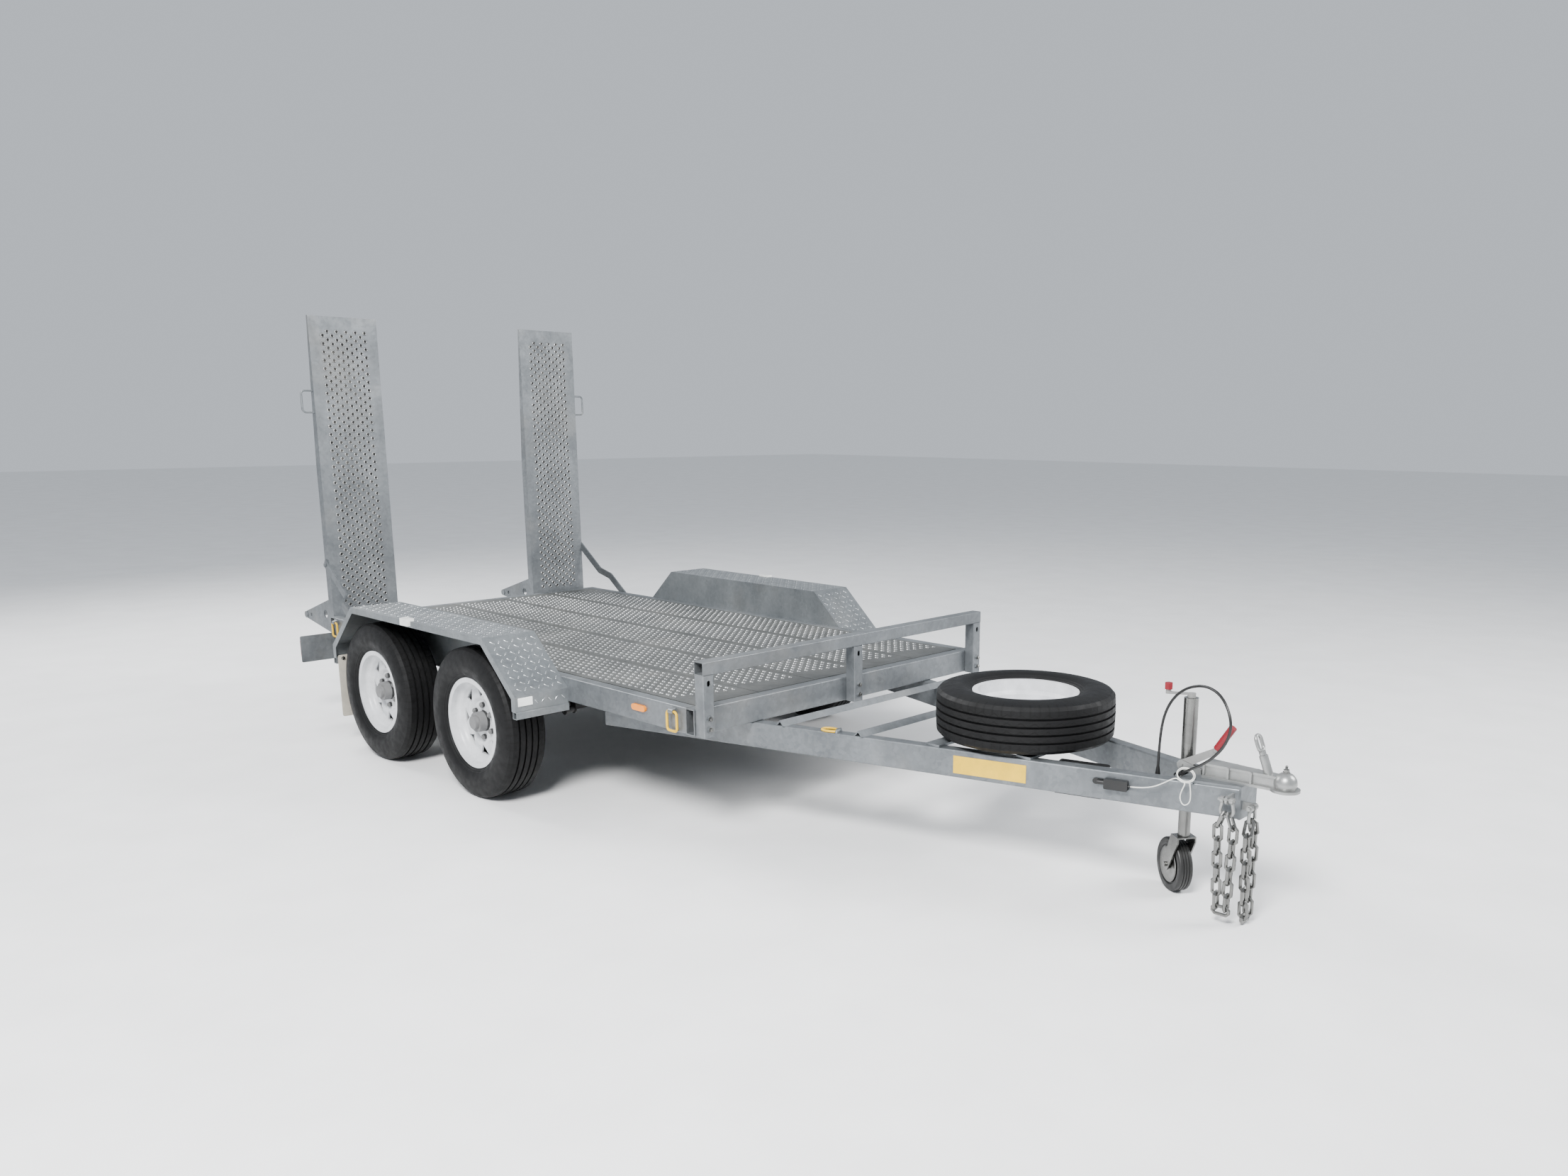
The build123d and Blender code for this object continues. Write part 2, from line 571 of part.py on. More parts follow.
def make_hub(centre, outward):
    """Brake drum, flange, studs with nuts, and the nose with its grease cap."""
    with BuildPart() as hub:
        with BuildSketch(wheel_section_plane(centre, outward)):
            with BuildLine():
                Polyline(
                    (DRUM_INNER_END, DRUM_RADIUS - DRUM_WALL),
                    (DRUM_INNER_END, DRUM_RADIUS),
                    (DISC_FACE - HUB_FLANGE, DRUM_RADIUS),
                    (DISC_FACE, DRUM_RADIUS - 12),
                    (DISC_FACE, HUB_NOSE_RADIUS),
                    (DISC_OUTER + HUB_NOSE_LENGTH, HUB_NOSE_RADIUS - 2),
                    (DISC_OUTER + HUB_NOSE_LENGTH, CAP_RADIUS),
                    (DISC_OUTER + HUB_NOSE_LENGTH + CAP_LENGTH, CAP_RADIUS - 2),
                    (DISC_OUTER + HUB_NOSE_LENGTH + CAP_LENGTH, 0),
                    (DISC_OUTER + HUB_NOSE_LENGTH, 0),
                    (DISC_OUTER + HUB_NOSE_LENGTH, HUB_BORE_RADIUS),
                    (DRUM_INNER_END + 12, HUB_BORE_RADIUS),
                    (DRUM_INNER_END + 12, HUB_NOSE_RADIUS),
                    (DISC_FACE - HUB_FLANGE - DRUM_WALL, HUB_NOSE_RADIUS),
                    (DISC_FACE - HUB_FLANGE - DRUM_WALL, DRUM_RADIUS - DRUM_WALL),
                    close=True,
                )
            make_face()
        revolve(axis=Axis(centre, outward))
        with BuildSketch(wheel_face_plane(centre, outward, DISC_FACE - 1)):
            with PolarLocations(BOLT_CIRCLE / 2, BOLT_COUNT):
                Circle(STUD_RADIUS)
        extrude(amount=DISC_SHEET + NUT_HEIGHT + 5)
        with BuildSketch(wheel_face_plane(centre, outward, DISC_OUTER)):
            with PolarLocations(BOLT_CIRCLE / 2, BOLT_COUNT):
                RegularPolygon(NUT_ACROSS_FLATS / 2, 6, major_radius=False)
        extrude(amount=NUT_HEIGHT)
    return hub.part


WHEEL_CENTRES = {
    f"{row}_{side}": (Vector(WHEEL_XS[row], sign * WHEEL_Y, TYRE_RADIUS), Vector(0, sign, 0))
    for row in WHEEL_XS
    for side, sign in SIDES.items()
}
for corner, (centre, outward) in WHEEL_CENTRES.items():
    tyre = make_tyre(centre, outward)
    tyre.label = f"tyre_{corner}"
    export_step(tyre, f"parts/tyre_{corner}.step")
    rim = make_rim(centre, outward)
    rim.label = f"rim_{corner}"
    export_step(rim, f"parts/rim_{corner}.step")
    hub = make_hub(centre, outward)
    hub.label = f"hub_{corner}"
    export_step(hub, f"parts/hub_{corner}.step")

# Spare wheel, lying face down on its bearers
SPARE_CENTRE = Vector(SPARE_X, 0, SPARE_CENTRE_HEIGHT)
spare_tyre = make_tyre(SPARE_CENTRE, Vector(0, 0, -1))
spare_tyre.label = "spare_tyre"
export_step(spare_tyre, "parts/spare_tyre.step")
spare_rim = make_rim(SPARE_CENTRE, Vector(0, 0, -1))
spare_rim.label = "spare_rim"
export_step(spare_rim, "parts/spare_rim.step")

# Axles: square tubes with a brake backplate and a spindle at each end
BACKPLATE_RADIUS = DRUM_RADIUS + 4
BACKPLATE_SHEET = 4
BACKPLATE_GAP = 3
AXLE_END_Y = WHEEL_Y + DRUM_INNER_END - BACKPLATE_GAP - BACKPLATE_SHEET
SPINDLE_END_Y = WHEEL_Y + DISC_OUTER + HUB_NOSE_LENGTH - 4
with BuildPart() as axles:
    for wheel_x in WHEEL_XS.values():
        with BuildSketch(side_view(0)):
            with Locations((wheel_x, TYRE_RADIUS)):
                tube_profile(AXLE_TUBE, AXLE_TUBE, AXLE_WALL, 6)
        extrude(amount=AXLE_END_Y, both=True)
        for sign in SIDES.values():
            axle_end = wheel_face_plane(Vector(wheel_x, sign * AXLE_END_Y, TYRE_RADIUS), Vector(0, sign, 0))
            with BuildSketch(axle_end):
                Circle(BACKPLATE_RADIUS)
            extrude(amount=BACKPLATE_SHEET)
            with BuildSketch(axle_end):
                Circle(SPINDLE_RADIUS)
            extrude(amount=SPINDLE_END_Y - AXLE_END_Y)
axles.part.label = "axles"
export_step(axles.part, "parts/axles.step")

# Leaf springs, each a stack of bowed leaves with rolled eyes, seated on its axle
SPRING_SEAT = TYRE_RADIUS + AXLE_TUBE / 2
MAIN_LEAF_TOP = SPRING_SEAT + LEAF_COUNT * LEAF_THICKNESS
LEAF_SHORTENING = 75
with BuildPart() as leaf_springs:
    for sign in SIDES.values():
        for wheel_x in WHEEL_XS.values():
            with BuildSketch(side_view(sign * RAIL_CENTRE_Y).move(Location((wheel_x, 0, 0)))):
                for leaf in range(LEAF_COUNT):
                    half_span = SPRING_HALF_LENGTH - EYE_BOLT_RADIUS - 2 - leaf * LEAF_SHORTENING
                    low = MAIN_LEAF_TOP - leaf * LEAF_THICKNESS
                    bow = EYE_HEIGHT - MAIN_LEAF_TOP
                    high = low + bow * (half_span / SPRING_HALF_LENGTH) ** 2
                    with BuildLine():
                        top = ThreePointArc((-half_span, high), (0, low), (half_span, high))
                        base = ThreePointArc((-half_span, high - LEAF_THICKNESS), (0, low - LEAF_THICKNESS),
                                             (half_span, high - LEAF_THICKNESS))
                        Line(top @ 0, base @ 0)
                        Line(top @ 1, base @ 1)
                    make_face()
                with Locations((-SPRING_HALF_LENGTH, EYE_HEIGHT), (SPRING_HALF_LENGTH, EYE_HEIGHT)):
                    Circle(EYE_RADIUS)
                    Circle(EYE_BOLT_RADIUS, mode=Mode.SUBTRACT)
                with Locations((0, SPRING_SEAT)):
                    Rectangle(SPRING_WIDTH + 30, MAIN_LEAF_TOP - SPRING_SEAT + 8, align=(Align.CENTER, Align.MIN))
            extrude(amount=SPRING_WIDTH / 2, both=True)
leaf_springs.part.label = "leaf_springs"
export_step(leaf_springs.part, "parts/leaf_springs.step")

# Spring hangers welded under the side rails, with the eye bolts through them
HANGER_GAP = 0.3
HANGER_Y = SPRING_WIDTH / 2 + HANGER_GAP + HANGER_SHEET / 2
HANGER_XS = (
    WHEEL_XS["front"] + SPRING_HALF_LENGTH,
    WHEEL_XS["rear"] - SPRING_HALF_LENGTH,
    TANDEM_X,
)
with BuildPart() as spring_hangers:
    for sign in SIDES.values():
        for hanger_x in HANGER_XS:
            for offset_y in (-HANGER_Y, HANGER_Y):
                with BuildSketch(side_view(sign * RAIL_CENTRE_Y + offset_y)):
                    with Locations((hanger_x, EYE_HEIGHT)):
                        Circle(EYE_RADIUS + 6)
                        Rectangle(2 * (EYE_RADIUS + 6), RAIL_BOTTOM - EYE_HEIGHT, align=(Align.CENTER, Align.MIN))
                extrude(amount=HANGER_SHEET / 2, both=True)
            with BuildSketch(side_view(sign * RAIL_CENTRE_Y)):
                with Locations((hanger_x, EYE_HEIGHT)):
                    Circle(EYE_BOLT_RADIUS - RUNNING_CLEARANCE)
            extrude(amount=HANGER_Y + HANGER_SHEET / 2 + 8, both=True)
spring_hangers.part.label = "spring_hangers"
export_step(spring_hangers.part, "parts/spring_hangers.step")

# Rockers between the two springs of each side
with BuildPart() as rockers:
    for sign in SIDES.values():
        with BuildSketch(side_view(sign * RAIL_CENTRE_Y)):
            with Locations((TANDEM_X, EYE_HEIGHT)):
                Circle(EYE_RADIUS)
                Circle(EYE_BOLT_RADIUS, mode=Mode.SUBTRACT)
        extrude(amount=SPRING_WIDTH / 2, both=True)
rockers.part.label = "rockers"
export_step(rockers.part, "parts/rockers.step")

# Mudguards: folded tread plate over both wheels, an inner wall, and tube outriggers
GUARD_PROFILE = (
    (TANDEM_X + GUARD_HALF_TOP + GUARD_SLOPE_RUN, GUARD_HEM),
    (TANDEM_X + GUARD_HALF_TOP + GUARD_SLOPE_RUN, GUARD_SLOPE_BOTTOM),
    (TANDEM_X + GUARD_HALF_TOP, GUARD_TOP),
    (TANDEM_X - GUARD_HALF_TOP, GUARD_TOP),
    (TANDEM_X - GUARD_HALF_TOP - GUARD_SLOPE_RUN, GUARD_SLOPE_BOTTOM),
    (TANDEM_X - GUARD_HALF_TOP - GUARD_SLOPE_RUN, GUARD_HEM),
)
GUARD_WIDTH = GUARD_OUTER_Y - HALF_WIDTH
OUTRIGGER_INSET = OUTRIGGER_SIDE / 2 - 5
OUTRIGGER_XS = (GUARD_PROFILE[0][0] - OUTRIGGER_INSET, GUARD_PROFILE[-1][0] + OUTRIGGER_INSET)
for side, sign in SIDES.items():
    with BuildPart() as guard:
        with BuildSketch(side_view(sign * HALF_WIDTH)):
            with BuildLine():
                Polyline(GUARD_PROFILE)
                offset(amount=GUARD_SHEET, side=Side.LEFT)
            make_face()
        extrude(amount=-sign * GUARD_WIDTH)
        with BuildSketch(side_view(sign * GUARD_OUTER_Y)):
            with BuildLine():
                Polyline(GUARD_PROFILE)
                offset(amount=GUARD_LIP, side=Side.LEFT)
            make_face()
        extrude(amount=sign * GUARD_SHEET)
        with BuildSketch(side_view(sign * HALF_WIDTH)):
            with BuildLine():
                Polyline(GUARD_PROFILE, close=True)
            make_face()
        extrude(amount=-sign * GUARD_SHEET)
        for outrigger_x in OUTRIGGER_XS:
            with BuildSketch(side_view(sign * HALF_WIDTH)):
                with Locations((outrigger_x, GUARD_HEM - OUTRIGGER_SIDE / 2)):
                    tube_profile(OUTRIGGER_SIDE, OUTRIGGER_SIDE, OUTRIGGER_WALL, 3)
            extrude(amount=-sign * (GUARD_WIDTH - 2))
    guard.part.label = f"guard_{side}"
    export_step(guard.part, f"parts/guard_{side}.step")

# Ramps, standing upright: punched face sheet, tapered side channels, rungs, feet and handle
RAMP_FACE_X = REAR_X - RAMP_FACE_GAP
RAMP_BACK_X = RAMP_FACE_X - RAMP_DEPTH
RAMP_HALF_WIDTH = RAMP_WIDTH / 2
LUG_SLOT_TOP = HINGE_HEIGHT + HINGE_LUG_RADIUS + LUG_SLOT_CLEARANCE
RAMP_RUNG_SIDE = 30
RAMP_RUNG_WALL = 3
RUNG_PITCH = (RAMP_TAPER_START - HINGE_HEIGHT) / (RAMP_RUNG_COUNT - 2)
FOOT_TUBE_X = REAR_X - RAMP_FOOT_REACH + FOOT_TUBE_RADIUS
FOOT_BAR_X = RAMP_BACK_X - 45
HANDLE_X = RAMP_FACE_X - RAMP_DEPTH / 4
STAY_PIVOT_X = HINGE_X
STAY_CENTRE_GAP = STAY_SIDE_GAP + STAY_SHEET / 2
STAY_PIN_LENGTH = STAY_SHEET + 2 * STAY_SIDE_GAP
STAY_HEAD_RADIUS = 11
STAY_HEAD_HEIGHT = 7
for side, sign in SIDES.items():
    inner_y = sign * (RAMP_CENTRE_Y - RAMP_HALF_WIDTH)
    outer_y = sign * (RAMP_CENTRE_Y + RAMP_HALF_WIDTH)
    with BuildPart() as ramp:
        with BuildSketch(end_view(RAMP_FACE_X)):
            with Locations((sign * RAMP_CENTRE_Y, RAMP_BOTTOM)):
                Rectangle(RAMP_WIDTH, RAMP_TOP - RAMP_BOTTOM, align=(Align.CENTER, Align.MIN))
                with GridLocations(2 * LUG_OFFSET, 0, 2, 1):
                    Rectangle(HINGE_LUG_SHEET + 2 * HINGE_LUG_GAP, LUG_SLOT_TOP - RAMP_BOTTOM,
                              align=(Align.CENTER, Align.MIN), mode=Mode.SUBTRACT)
        extrude(amount=-RAMP_SHEET)
        for edge_y, inward in ((inner_y, sign), (outer_y, -sign)):
            with BuildSketch(side_view(edge_y)):
                with BuildLine():
                    Polyline(
                        (RAMP_FACE_X, RAMP_BOTTOM),
                        (RAMP_FACE_X, RAMP_TOP),
                        (RAMP_FACE_X - RAMP_TIP_DEPTH, RAMP_TOP),
                        (RAMP_BACK_X, RAMP_TAPER_START),
                        (RAMP_BACK_X, RAMP_BOTTOM),
                        close=True,
                    )
                make_face()
            extrude(amount=-inward * RAMP_SHEET)
            with BuildSketch(side_view(edge_y)):
                with Locations((RAMP_BACK_X, GUSSET_TOP)):
                    Rectangle(RAMP_SHEET, RAMP_TAPER_START - GUSSET_TOP, align=(Align.MIN, Align.MIN))
            extrude(amount=-inward * RAMP_FLANGE)
            with BuildSketch(side_view(edge_y)):
                with Locations((FOOT_TUBE_X, FOOT_TUBE_HEIGHT)):
                    Circle(FOOT_TUBE_RADIUS)
                with Locations((RAMP_BACK_X + RAMP_SHEET, (GUSSET_TOP + GUSSET_BOTTOM) / 2)):
                    Rectangle(2, GUSSET_TOP - GUSSET_BOTTOM)
                make_hull()
                with Locations((RAMP_BACK_X - 50, FOOT_TUBE_HEIGHT + 30)):
                    Circle(22, mode=Mode.SUBTRACT)
                with Locations((FOOT_TUBE_X + 62, FOOT_TUBE_HEIGHT + 6)):
                    Circle(11, mode=Mode.SUBTRACT)
            extrude(amount=-inward * GUSSET_SHEET)
        for rung in range(RAMP_RUNG_COUNT - 1):
            with BuildSketch(side_view(sign * RAMP_CENTRE_Y)):
                with Locations((RAMP_FACE_X - RAMP_SHEET, GUSSET_TOP + 30 + rung * RUNG_PITCH)):
                    Rectangle(RAMP_RUNG_SIDE, RAMP_RUNG_SIDE, align=(Align.MAX, Align.CENTER))
                    with Locations((-RAMP_RUNG_WALL, 0)):
                        Rectangle(RAMP_RUNG_SIDE - 2 * RAMP_RUNG_WALL, RAMP_RUNG_SIDE - 2 * RAMP_RUNG_WALL,
                                  align=(Align.MAX, Align.CENTER), mode=Mode.SUBTRACT)
            extrude(amount=RAMP_HALF_WIDTH - RAMP_SHEET / 2, both=True)
        with BuildSketch(side_view(sign * RAMP_CENTRE_Y)):
            with Locations((RAMP_FACE_X, RAMP_TOP)):
                Rectangle(RAMP_TIP_DEPTH, 2 * RAMP_SHEET, align=(Align.MAX, Align.MAX))
            with Locations((FOOT_BAR_X, FOOT_TUBE_HEIGHT - 12)):
                Rectangle(12, 40)
            with Locations((HINGE_X, HINGE_HEIGHT)):
                Circle(HINGE_ROD_RADIUS)
        extrude(amount=RAMP_HALF_WIDTH - RAMP_SHEET / 2, both=True)
        with BuildSketch(side_view(sign * RAMP_CENTRE_Y)):
            with Locations((FOOT_TUBE_X, FOOT_TUBE_HEIGHT)):
                Circle(FOOT_TUBE_RADIUS)
        extrude(amount=RAMP_HALF_WIDTH + 4, both=True)
        with BuildLine() as handle_path:
            FilletPolyline(
                (HANDLE_X, outer_y - sign * RAMP_SHEET / 2, HANDLE_LOW),
                (HANDLE_X, outer_y + sign * HANDLE_REACH, HANDLE_LOW),
                (HANDLE_X, outer_y + sign * HANDLE_REACH, HANDLE_HIGH),
                (HANDLE_X, outer_y - sign * RAMP_SHEET / 2, HANDLE_HIGH),
                radius=18,
            )
        with BuildSketch(Plane(origin=handle_path.line @ 0, z_dir=handle_path.line % 0)):
            Circle(HANDLE_ROD_RADIUS)
        sweep(path=handle_path.line)
        with BuildSketch(Plane(origin=(STAY_PIVOT_X, outer_y, STAY_PIVOT_HEIGHT), z_dir=(0, sign, 0))):
            Circle(STAY_PIN_RADIUS)
        extrude(amount=STAY_PIN_LENGTH + STAY_HEAD_HEIGHT)
        with BuildSketch(Plane(origin=(STAY_PIVOT_X, outer_y + sign * STAY_PIN_LENGTH, STAY_PIVOT_HEIGHT),
                               z_dir=(0, sign, 0))):
            RegularPolygon(STAY_HEAD_RADIUS, 6)
        extrude(amount=STAY_HEAD_HEIGHT)
    ramp.part.label = f"ramp_{side}"
    export_step(ramp.part, f"parts/ramp_{side}.step")

# Ramp stays: joggled flats that hook over a stud on the side rail
STAY_RUN = hypot(STUD_X - STAY_PIVOT_X, STAY_PIVOT_HEIGHT - STAY_STUD_HEIGHT)
STAY_SLOPE = Vector(STUD_X - STAY_PIVOT_X, 0, STAY_STUD_HEIGHT - STAY_PIVOT_HEIGHT).normalized()
STAY_INNER_Y = RAMP_CENTRE_Y + RAMP_HALF_WIDTH + STAY_CENTRE_GAP
STAY_JOG = HALF_WIDTH + STAY_RAIL_GAP + STAY_SHEET / 2 - STAY_INNER_Y
STAY_JOG_START = 0.5
STAY_JOG_END = 0.62
NOTCH_HALF = STAY_STUD_RADIUS + STAY_NOTCH_CLEARANCE
NOTCH_DROP = 70
NOTCH_REAR_FLARE = radians(48)
for side, sign in SIDES.items():
    pivot = Vector(STAY_PIVOT_X, sign * STAY_INNER_Y, STAY_PIVOT_HEIGHT)
    with BuildPart() as stay:
        with BuildSketch(Plane(origin=pivot, x_dir=STAY_SLOPE, z_dir=STAY_SLOPE.cross(Vector(0, sign, 0)))):
            with BuildLine():
                Polyline(
                    (-STAY_WIDTH / 2, STAY_SHEET / 2),
                    (STAY_JOG_START * STAY_RUN, STAY_SHEET / 2),
                    (STAY_JOG_END * STAY_RUN, STAY_JOG + STAY_SHEET / 2),
                    (STAY_RUN + STAY_WIDTH / 2, STAY_JOG + STAY_SHEET / 2),
                )
                offset(amount=STAY_SHEET, side=Side.RIGHT)
            make_face()
        extrude(amount=STAY_WIDTH / 2, both=True)
        with BuildSketch(side_view(pivot.Y)):
            with Locations((STAY_PIVOT_X, STAY_PIVOT_HEIGHT)):
                Circle(STAY_PIN_RADIUS + RUNNING_CLEARANCE)
        extrude(amount=STAY_SHEET, both=True, mode=Mode.SUBTRACT)
        with BuildSketch(side_view(sign * HALF_WIDTH)):
            with Locations((STUD_X, STAY_STUD_HEIGHT)):
                Circle(NOTCH_HALF)
            with BuildLine():
                Polyline(
                    (STUD_X + NOTCH_HALF, STAY_STUD_HEIGHT),
                    (STUD_X + NOTCH_HALF, STAY_STUD_HEIGHT - NOTCH_DROP),
                    (STUD_X - NOTCH_HALF - NOTCH_DROP * tan(NOTCH_REAR_FLARE), STAY_STUD_HEIGHT - NOTCH_DROP),
                    (STUD_X - NOTCH_HALF, STAY_STUD_HEIGHT),
                    close=True,
                )
            make_face()
        extrude(amount=-sign * 60, mode=Mode.SUBTRACT)
    stay.part.label = f"ramp_stay_{side}"
    export_step(stay.part, f"parts/ramp_stay_{side}.step")

# Jockey wheel: clamped tube, telescopic leg, swivelling yoke, wheel, and the crank that drives it
JOCKEY_X = FRONT_X + JOCKEY
JOCKEY_FOOT = Vector(JOCKEY_X, JOCKEY_Y, 0)
JOCKEY_BORE_RADIUS = JOCKEY_TUBE_RADIUS - JOCKEY_TUBE_WALL
JOCKEY_LEG_BORE_RADIUS = JOCKEY_LEG_RADIUS - JOCKEY_LEG_WALL
CLAMP_HALF_LENGTH = 32
CLAMP_LOW = JOCKEY_TUBE_BOTTOM + 30
CLAMP_HIGH = CLAMP_LOW + 60
CLAMP_WELD_GAP = 0.2
SCREW_RADIUS = 8
SCREW_LOW = JOCKEY_TUBE_TOP - 290
CAP_SHEET = 6
with BuildPart() as jockey_tube:
    with BuildSketch(Plane.XY.offset(JOCKEY_TUBE_BOTTOM)):
        with Locations((JOCKEY_X, JOCKEY_Y)):
            Circle(JOCKEY_TUBE_RADIUS)
    extrude(amount=JOCKEY_TUBE_TOP - JOCKEY_TUBE_BOTTOM)
    with BuildSketch(Plane.XY.offset(CLAMP_LOW)):
        with BuildLine():
            Polyline(
                (JOCKEY_X - CLAMP_HALF_LENGTH, JOCKEY_Y - 6),
                (JOCKEY_X + CLAMP_HALF_LENGTH, JOCKEY_Y - 6),
                (JOCKEY_X + CLAMP_HALF_LENGTH, drawbar_inner_y(JOCKEY_X + CLAMP_HALF_LENGTH) - CLAMP_WELD_GAP),
                (JOCKEY_X - CLAMP_HALF_LENGTH, drawbar_inner_y(JOCKEY_X - CLAMP_HALF_LENGTH) - CLAMP_WELD_GAP),
                close=True,
            )
        make_face()
    extrude(amount=CLAMP_HIGH - CLAMP_LOW)
    with BuildSketch(Plane.XY.offset(JOCKEY_TUBE_BOTTOM)):
        with Locations((JOCKEY_X, JOCKEY_Y)):
            Circle(JOCKEY_BORE_RADIUS)
    extrude(amount=JOCKEY_TUBE_TOP - CAP_SHEET - JOCKEY_TUBE_BOTTOM, mode=Mode.SUBTRACT)
    with BuildSketch(Plane.XY.offset(JOCKEY_TUBE_TOP)):
        with Locations((JOCKEY_X, JOCKEY_Y)):
            Circle(SCREW_RADIUS + RUNNING_CLEARANCE)
    extrude(amount=-2 * CAP_SHEET, mode=Mode.SUBTRACT)
jockey_tube.part.label = "jockey_tube"
export_step(jockey_tube.part, "parts/jockey_tube.step")

LEG_PLUG = 8
YOKE_PIN_RADIUS = 10
YOKE_PIN_HEAD_RADIUS = 15
YOKE_PIN_HEAD_HEIGHT = 3
YOKE_END_PLAY = 1
with BuildPart() as jockey_leg:
    with BuildSketch(Plane.XY.offset(JOCKEY_LEG_BOTTOM)):
        with Locations((JOCKEY_X, JOCKEY_Y)):
            Circle(JOCKEY_LEG_RADIUS)
            Circle(YOKE_PIN_RADIUS + RUNNING_CLEARANCE, mode=Mode.SUBTRACT)
    extrude(amount=LEG_PLUG)
    with BuildSketch(Plane.XY.offset(JOCKEY_LEG_BOTTOM + LEG_PLUG)):
        with Locations((JOCKEY_X, JOCKEY_Y)):
            Circle(JOCKEY_LEG_RADIUS)
            Circle(JOCKEY_LEG_BORE_RADIUS, mode=Mode.SUBTRACT)
    extrude(amount=JOCKEY_LEG_TOP - JOCKEY_LEG_BOTTOM - LEG_PLUG)
jockey_leg.part.label = "jockey_leg"
export_step(jockey_leg.part, "parts/jockey_leg.step")

# The yoke swivels under the leg, with its axle trailing behind
HEADING = Vector(cos(radians(JOCKEY_SWIVEL)), sin(radians(JOCKEY_SWIVEL)), 0)
JOCKEY_AXLE_DIR = Vector(-HEADING.Y, HEADING.X, 0)
JOCKEY_WHEEL_CENTRE = JOCKEY_FOOT - HEADING * JOCKEY_TRAIL + Vector(0, 0, JOCKEY_WHEEL_RADIUS)
YOKE_TOP = JOCKEY_LEG_BOTTOM - YOKE_END_PLAY
YOKE_INSIDE = JOCKEY_WHEEL_WIDTH / 2 + 4
YOKE_PLANE = Plane(origin=JOCKEY_FOOT, x_dir=HEADING, z_dir=HEADING.cross(Vector(0, 0, 1)))
with BuildPart() as jockey_yoke:
    with BuildSketch(YOKE_PLANE):
        with Locations((-JOCKEY_TRAIL, JOCKEY_WHEEL_RADIUS)):
            Circle(20)
        with Locations((0, YOKE_TOP - 10)):
            Rectangle(52, 20)
        make_hull()
    extrude(amount=YOKE_INSIDE + YOKE_SHEET, both=True)
    with BuildSketch(YOKE_PLANE):
        with Locations((-JOCKEY_TRAIL / 2, YOKE_TOP - YOKE_SHEET)):
            Rectangle(4 * JOCKEY_TRAIL, 3 * JOCKEY_WHEEL_RADIUS, align=(Align.CENTER, Align.MAX))
    extrude(amount=YOKE_INSIDE, both=True, mode=Mode.SUBTRACT)
    with BuildSketch(YOKE_PLANE):
        with Locations((-JOCKEY_TRAIL, JOCKEY_WHEEL_RADIUS)):
            Circle(JOCKEY_AXLE_RADIUS)
    extrude(amount=YOKE_INSIDE + YOKE_SHEET + 7, both=True)
    with BuildSketch(Plane.XY.offset(YOKE_TOP)):
        with Locations((JOCKEY_X, JOCKEY_Y)):
            Circle(YOKE_PIN_RADIUS)
    extrude(amount=2 * YOKE_END_PLAY + LEG_PLUG + YOKE_PIN_HEAD_HEIGHT)
    with BuildSketch(Plane.XY.offset(YOKE_TOP + 2 * YOKE_END_PLAY + LEG_PLUG)):
        with Locations((JOCKEY_X, JOCKEY_Y)):
            Circle(YOKE_PIN_HEAD_RADIUS)
    extrude(amount=YOKE_PIN_HEAD_HEIGHT)
jockey_yoke.part.label = "jockey_yoke"
export_step(jockey_yoke.part, "parts/jockey_yoke.step")

# Jockey wheel: ribbed rubber tyre on a dished plate with a long hub
JOCKEY_RIM_RADIUS = 66
JOCKEY_HUB_RADIUS = 15
JOCKEY_PLATE = 3
with BuildPart() as jockey_wheel:
    with BuildSketch(wheel_section_plane(JOCKEY_WHEEL_CENTRE, JOCKEY_AXLE_DIR)):
        with Locations((0, (JOCKEY_RIM_RADIUS + JOCKEY_WHEEL_RADIUS) / 2)):
            RectangleRounded(JOCKEY_WHEEL_WIDTH, JOCKEY_WHEEL_RADIUS - JOCKEY_RIM_RADIUS, 7)
        with Locations((0, JOCKEY_WHEEL_RADIUS)):
            with GridLocations(10, 0, 3, 1):
                Rectangle(2.5, 6, mode=Mode.SUBTRACT)
        with Locations((0, JOCKEY_RIM_RADIUS)):
            Rectangle(JOCKEY_WHEEL_WIDTH - 8, 2 * JOCKEY_PLATE)
        with Locations((0, (JOCKEY_RIM_RADIUS + JOCKEY_AXLE_RADIUS) / 2)):
            Rectangle(JOCKEY_PLATE, JOCKEY_RIM_RADIUS - JOCKEY_AXLE_RADIUS - 2)
        with Locations((0, JOCKEY_HUB_RADIUS)):
            Rectangle(JOCKEY_WHEEL_WIDTH + 4, JOCKEY_HUB_RADIUS - JOCKEY_AXLE_RADIUS - RUNNING_CLEARANCE,
                      align=(Align.CENTER, Align.MAX))
    revolve(axis=Axis(JOCKEY_WHEEL_CENTRE, JOCKEY_AXLE_DIR))
jockey_wheel.part.label = "jockey_wheel"
export_step(jockey_wheel.part, "parts/jockey_wheel.step")

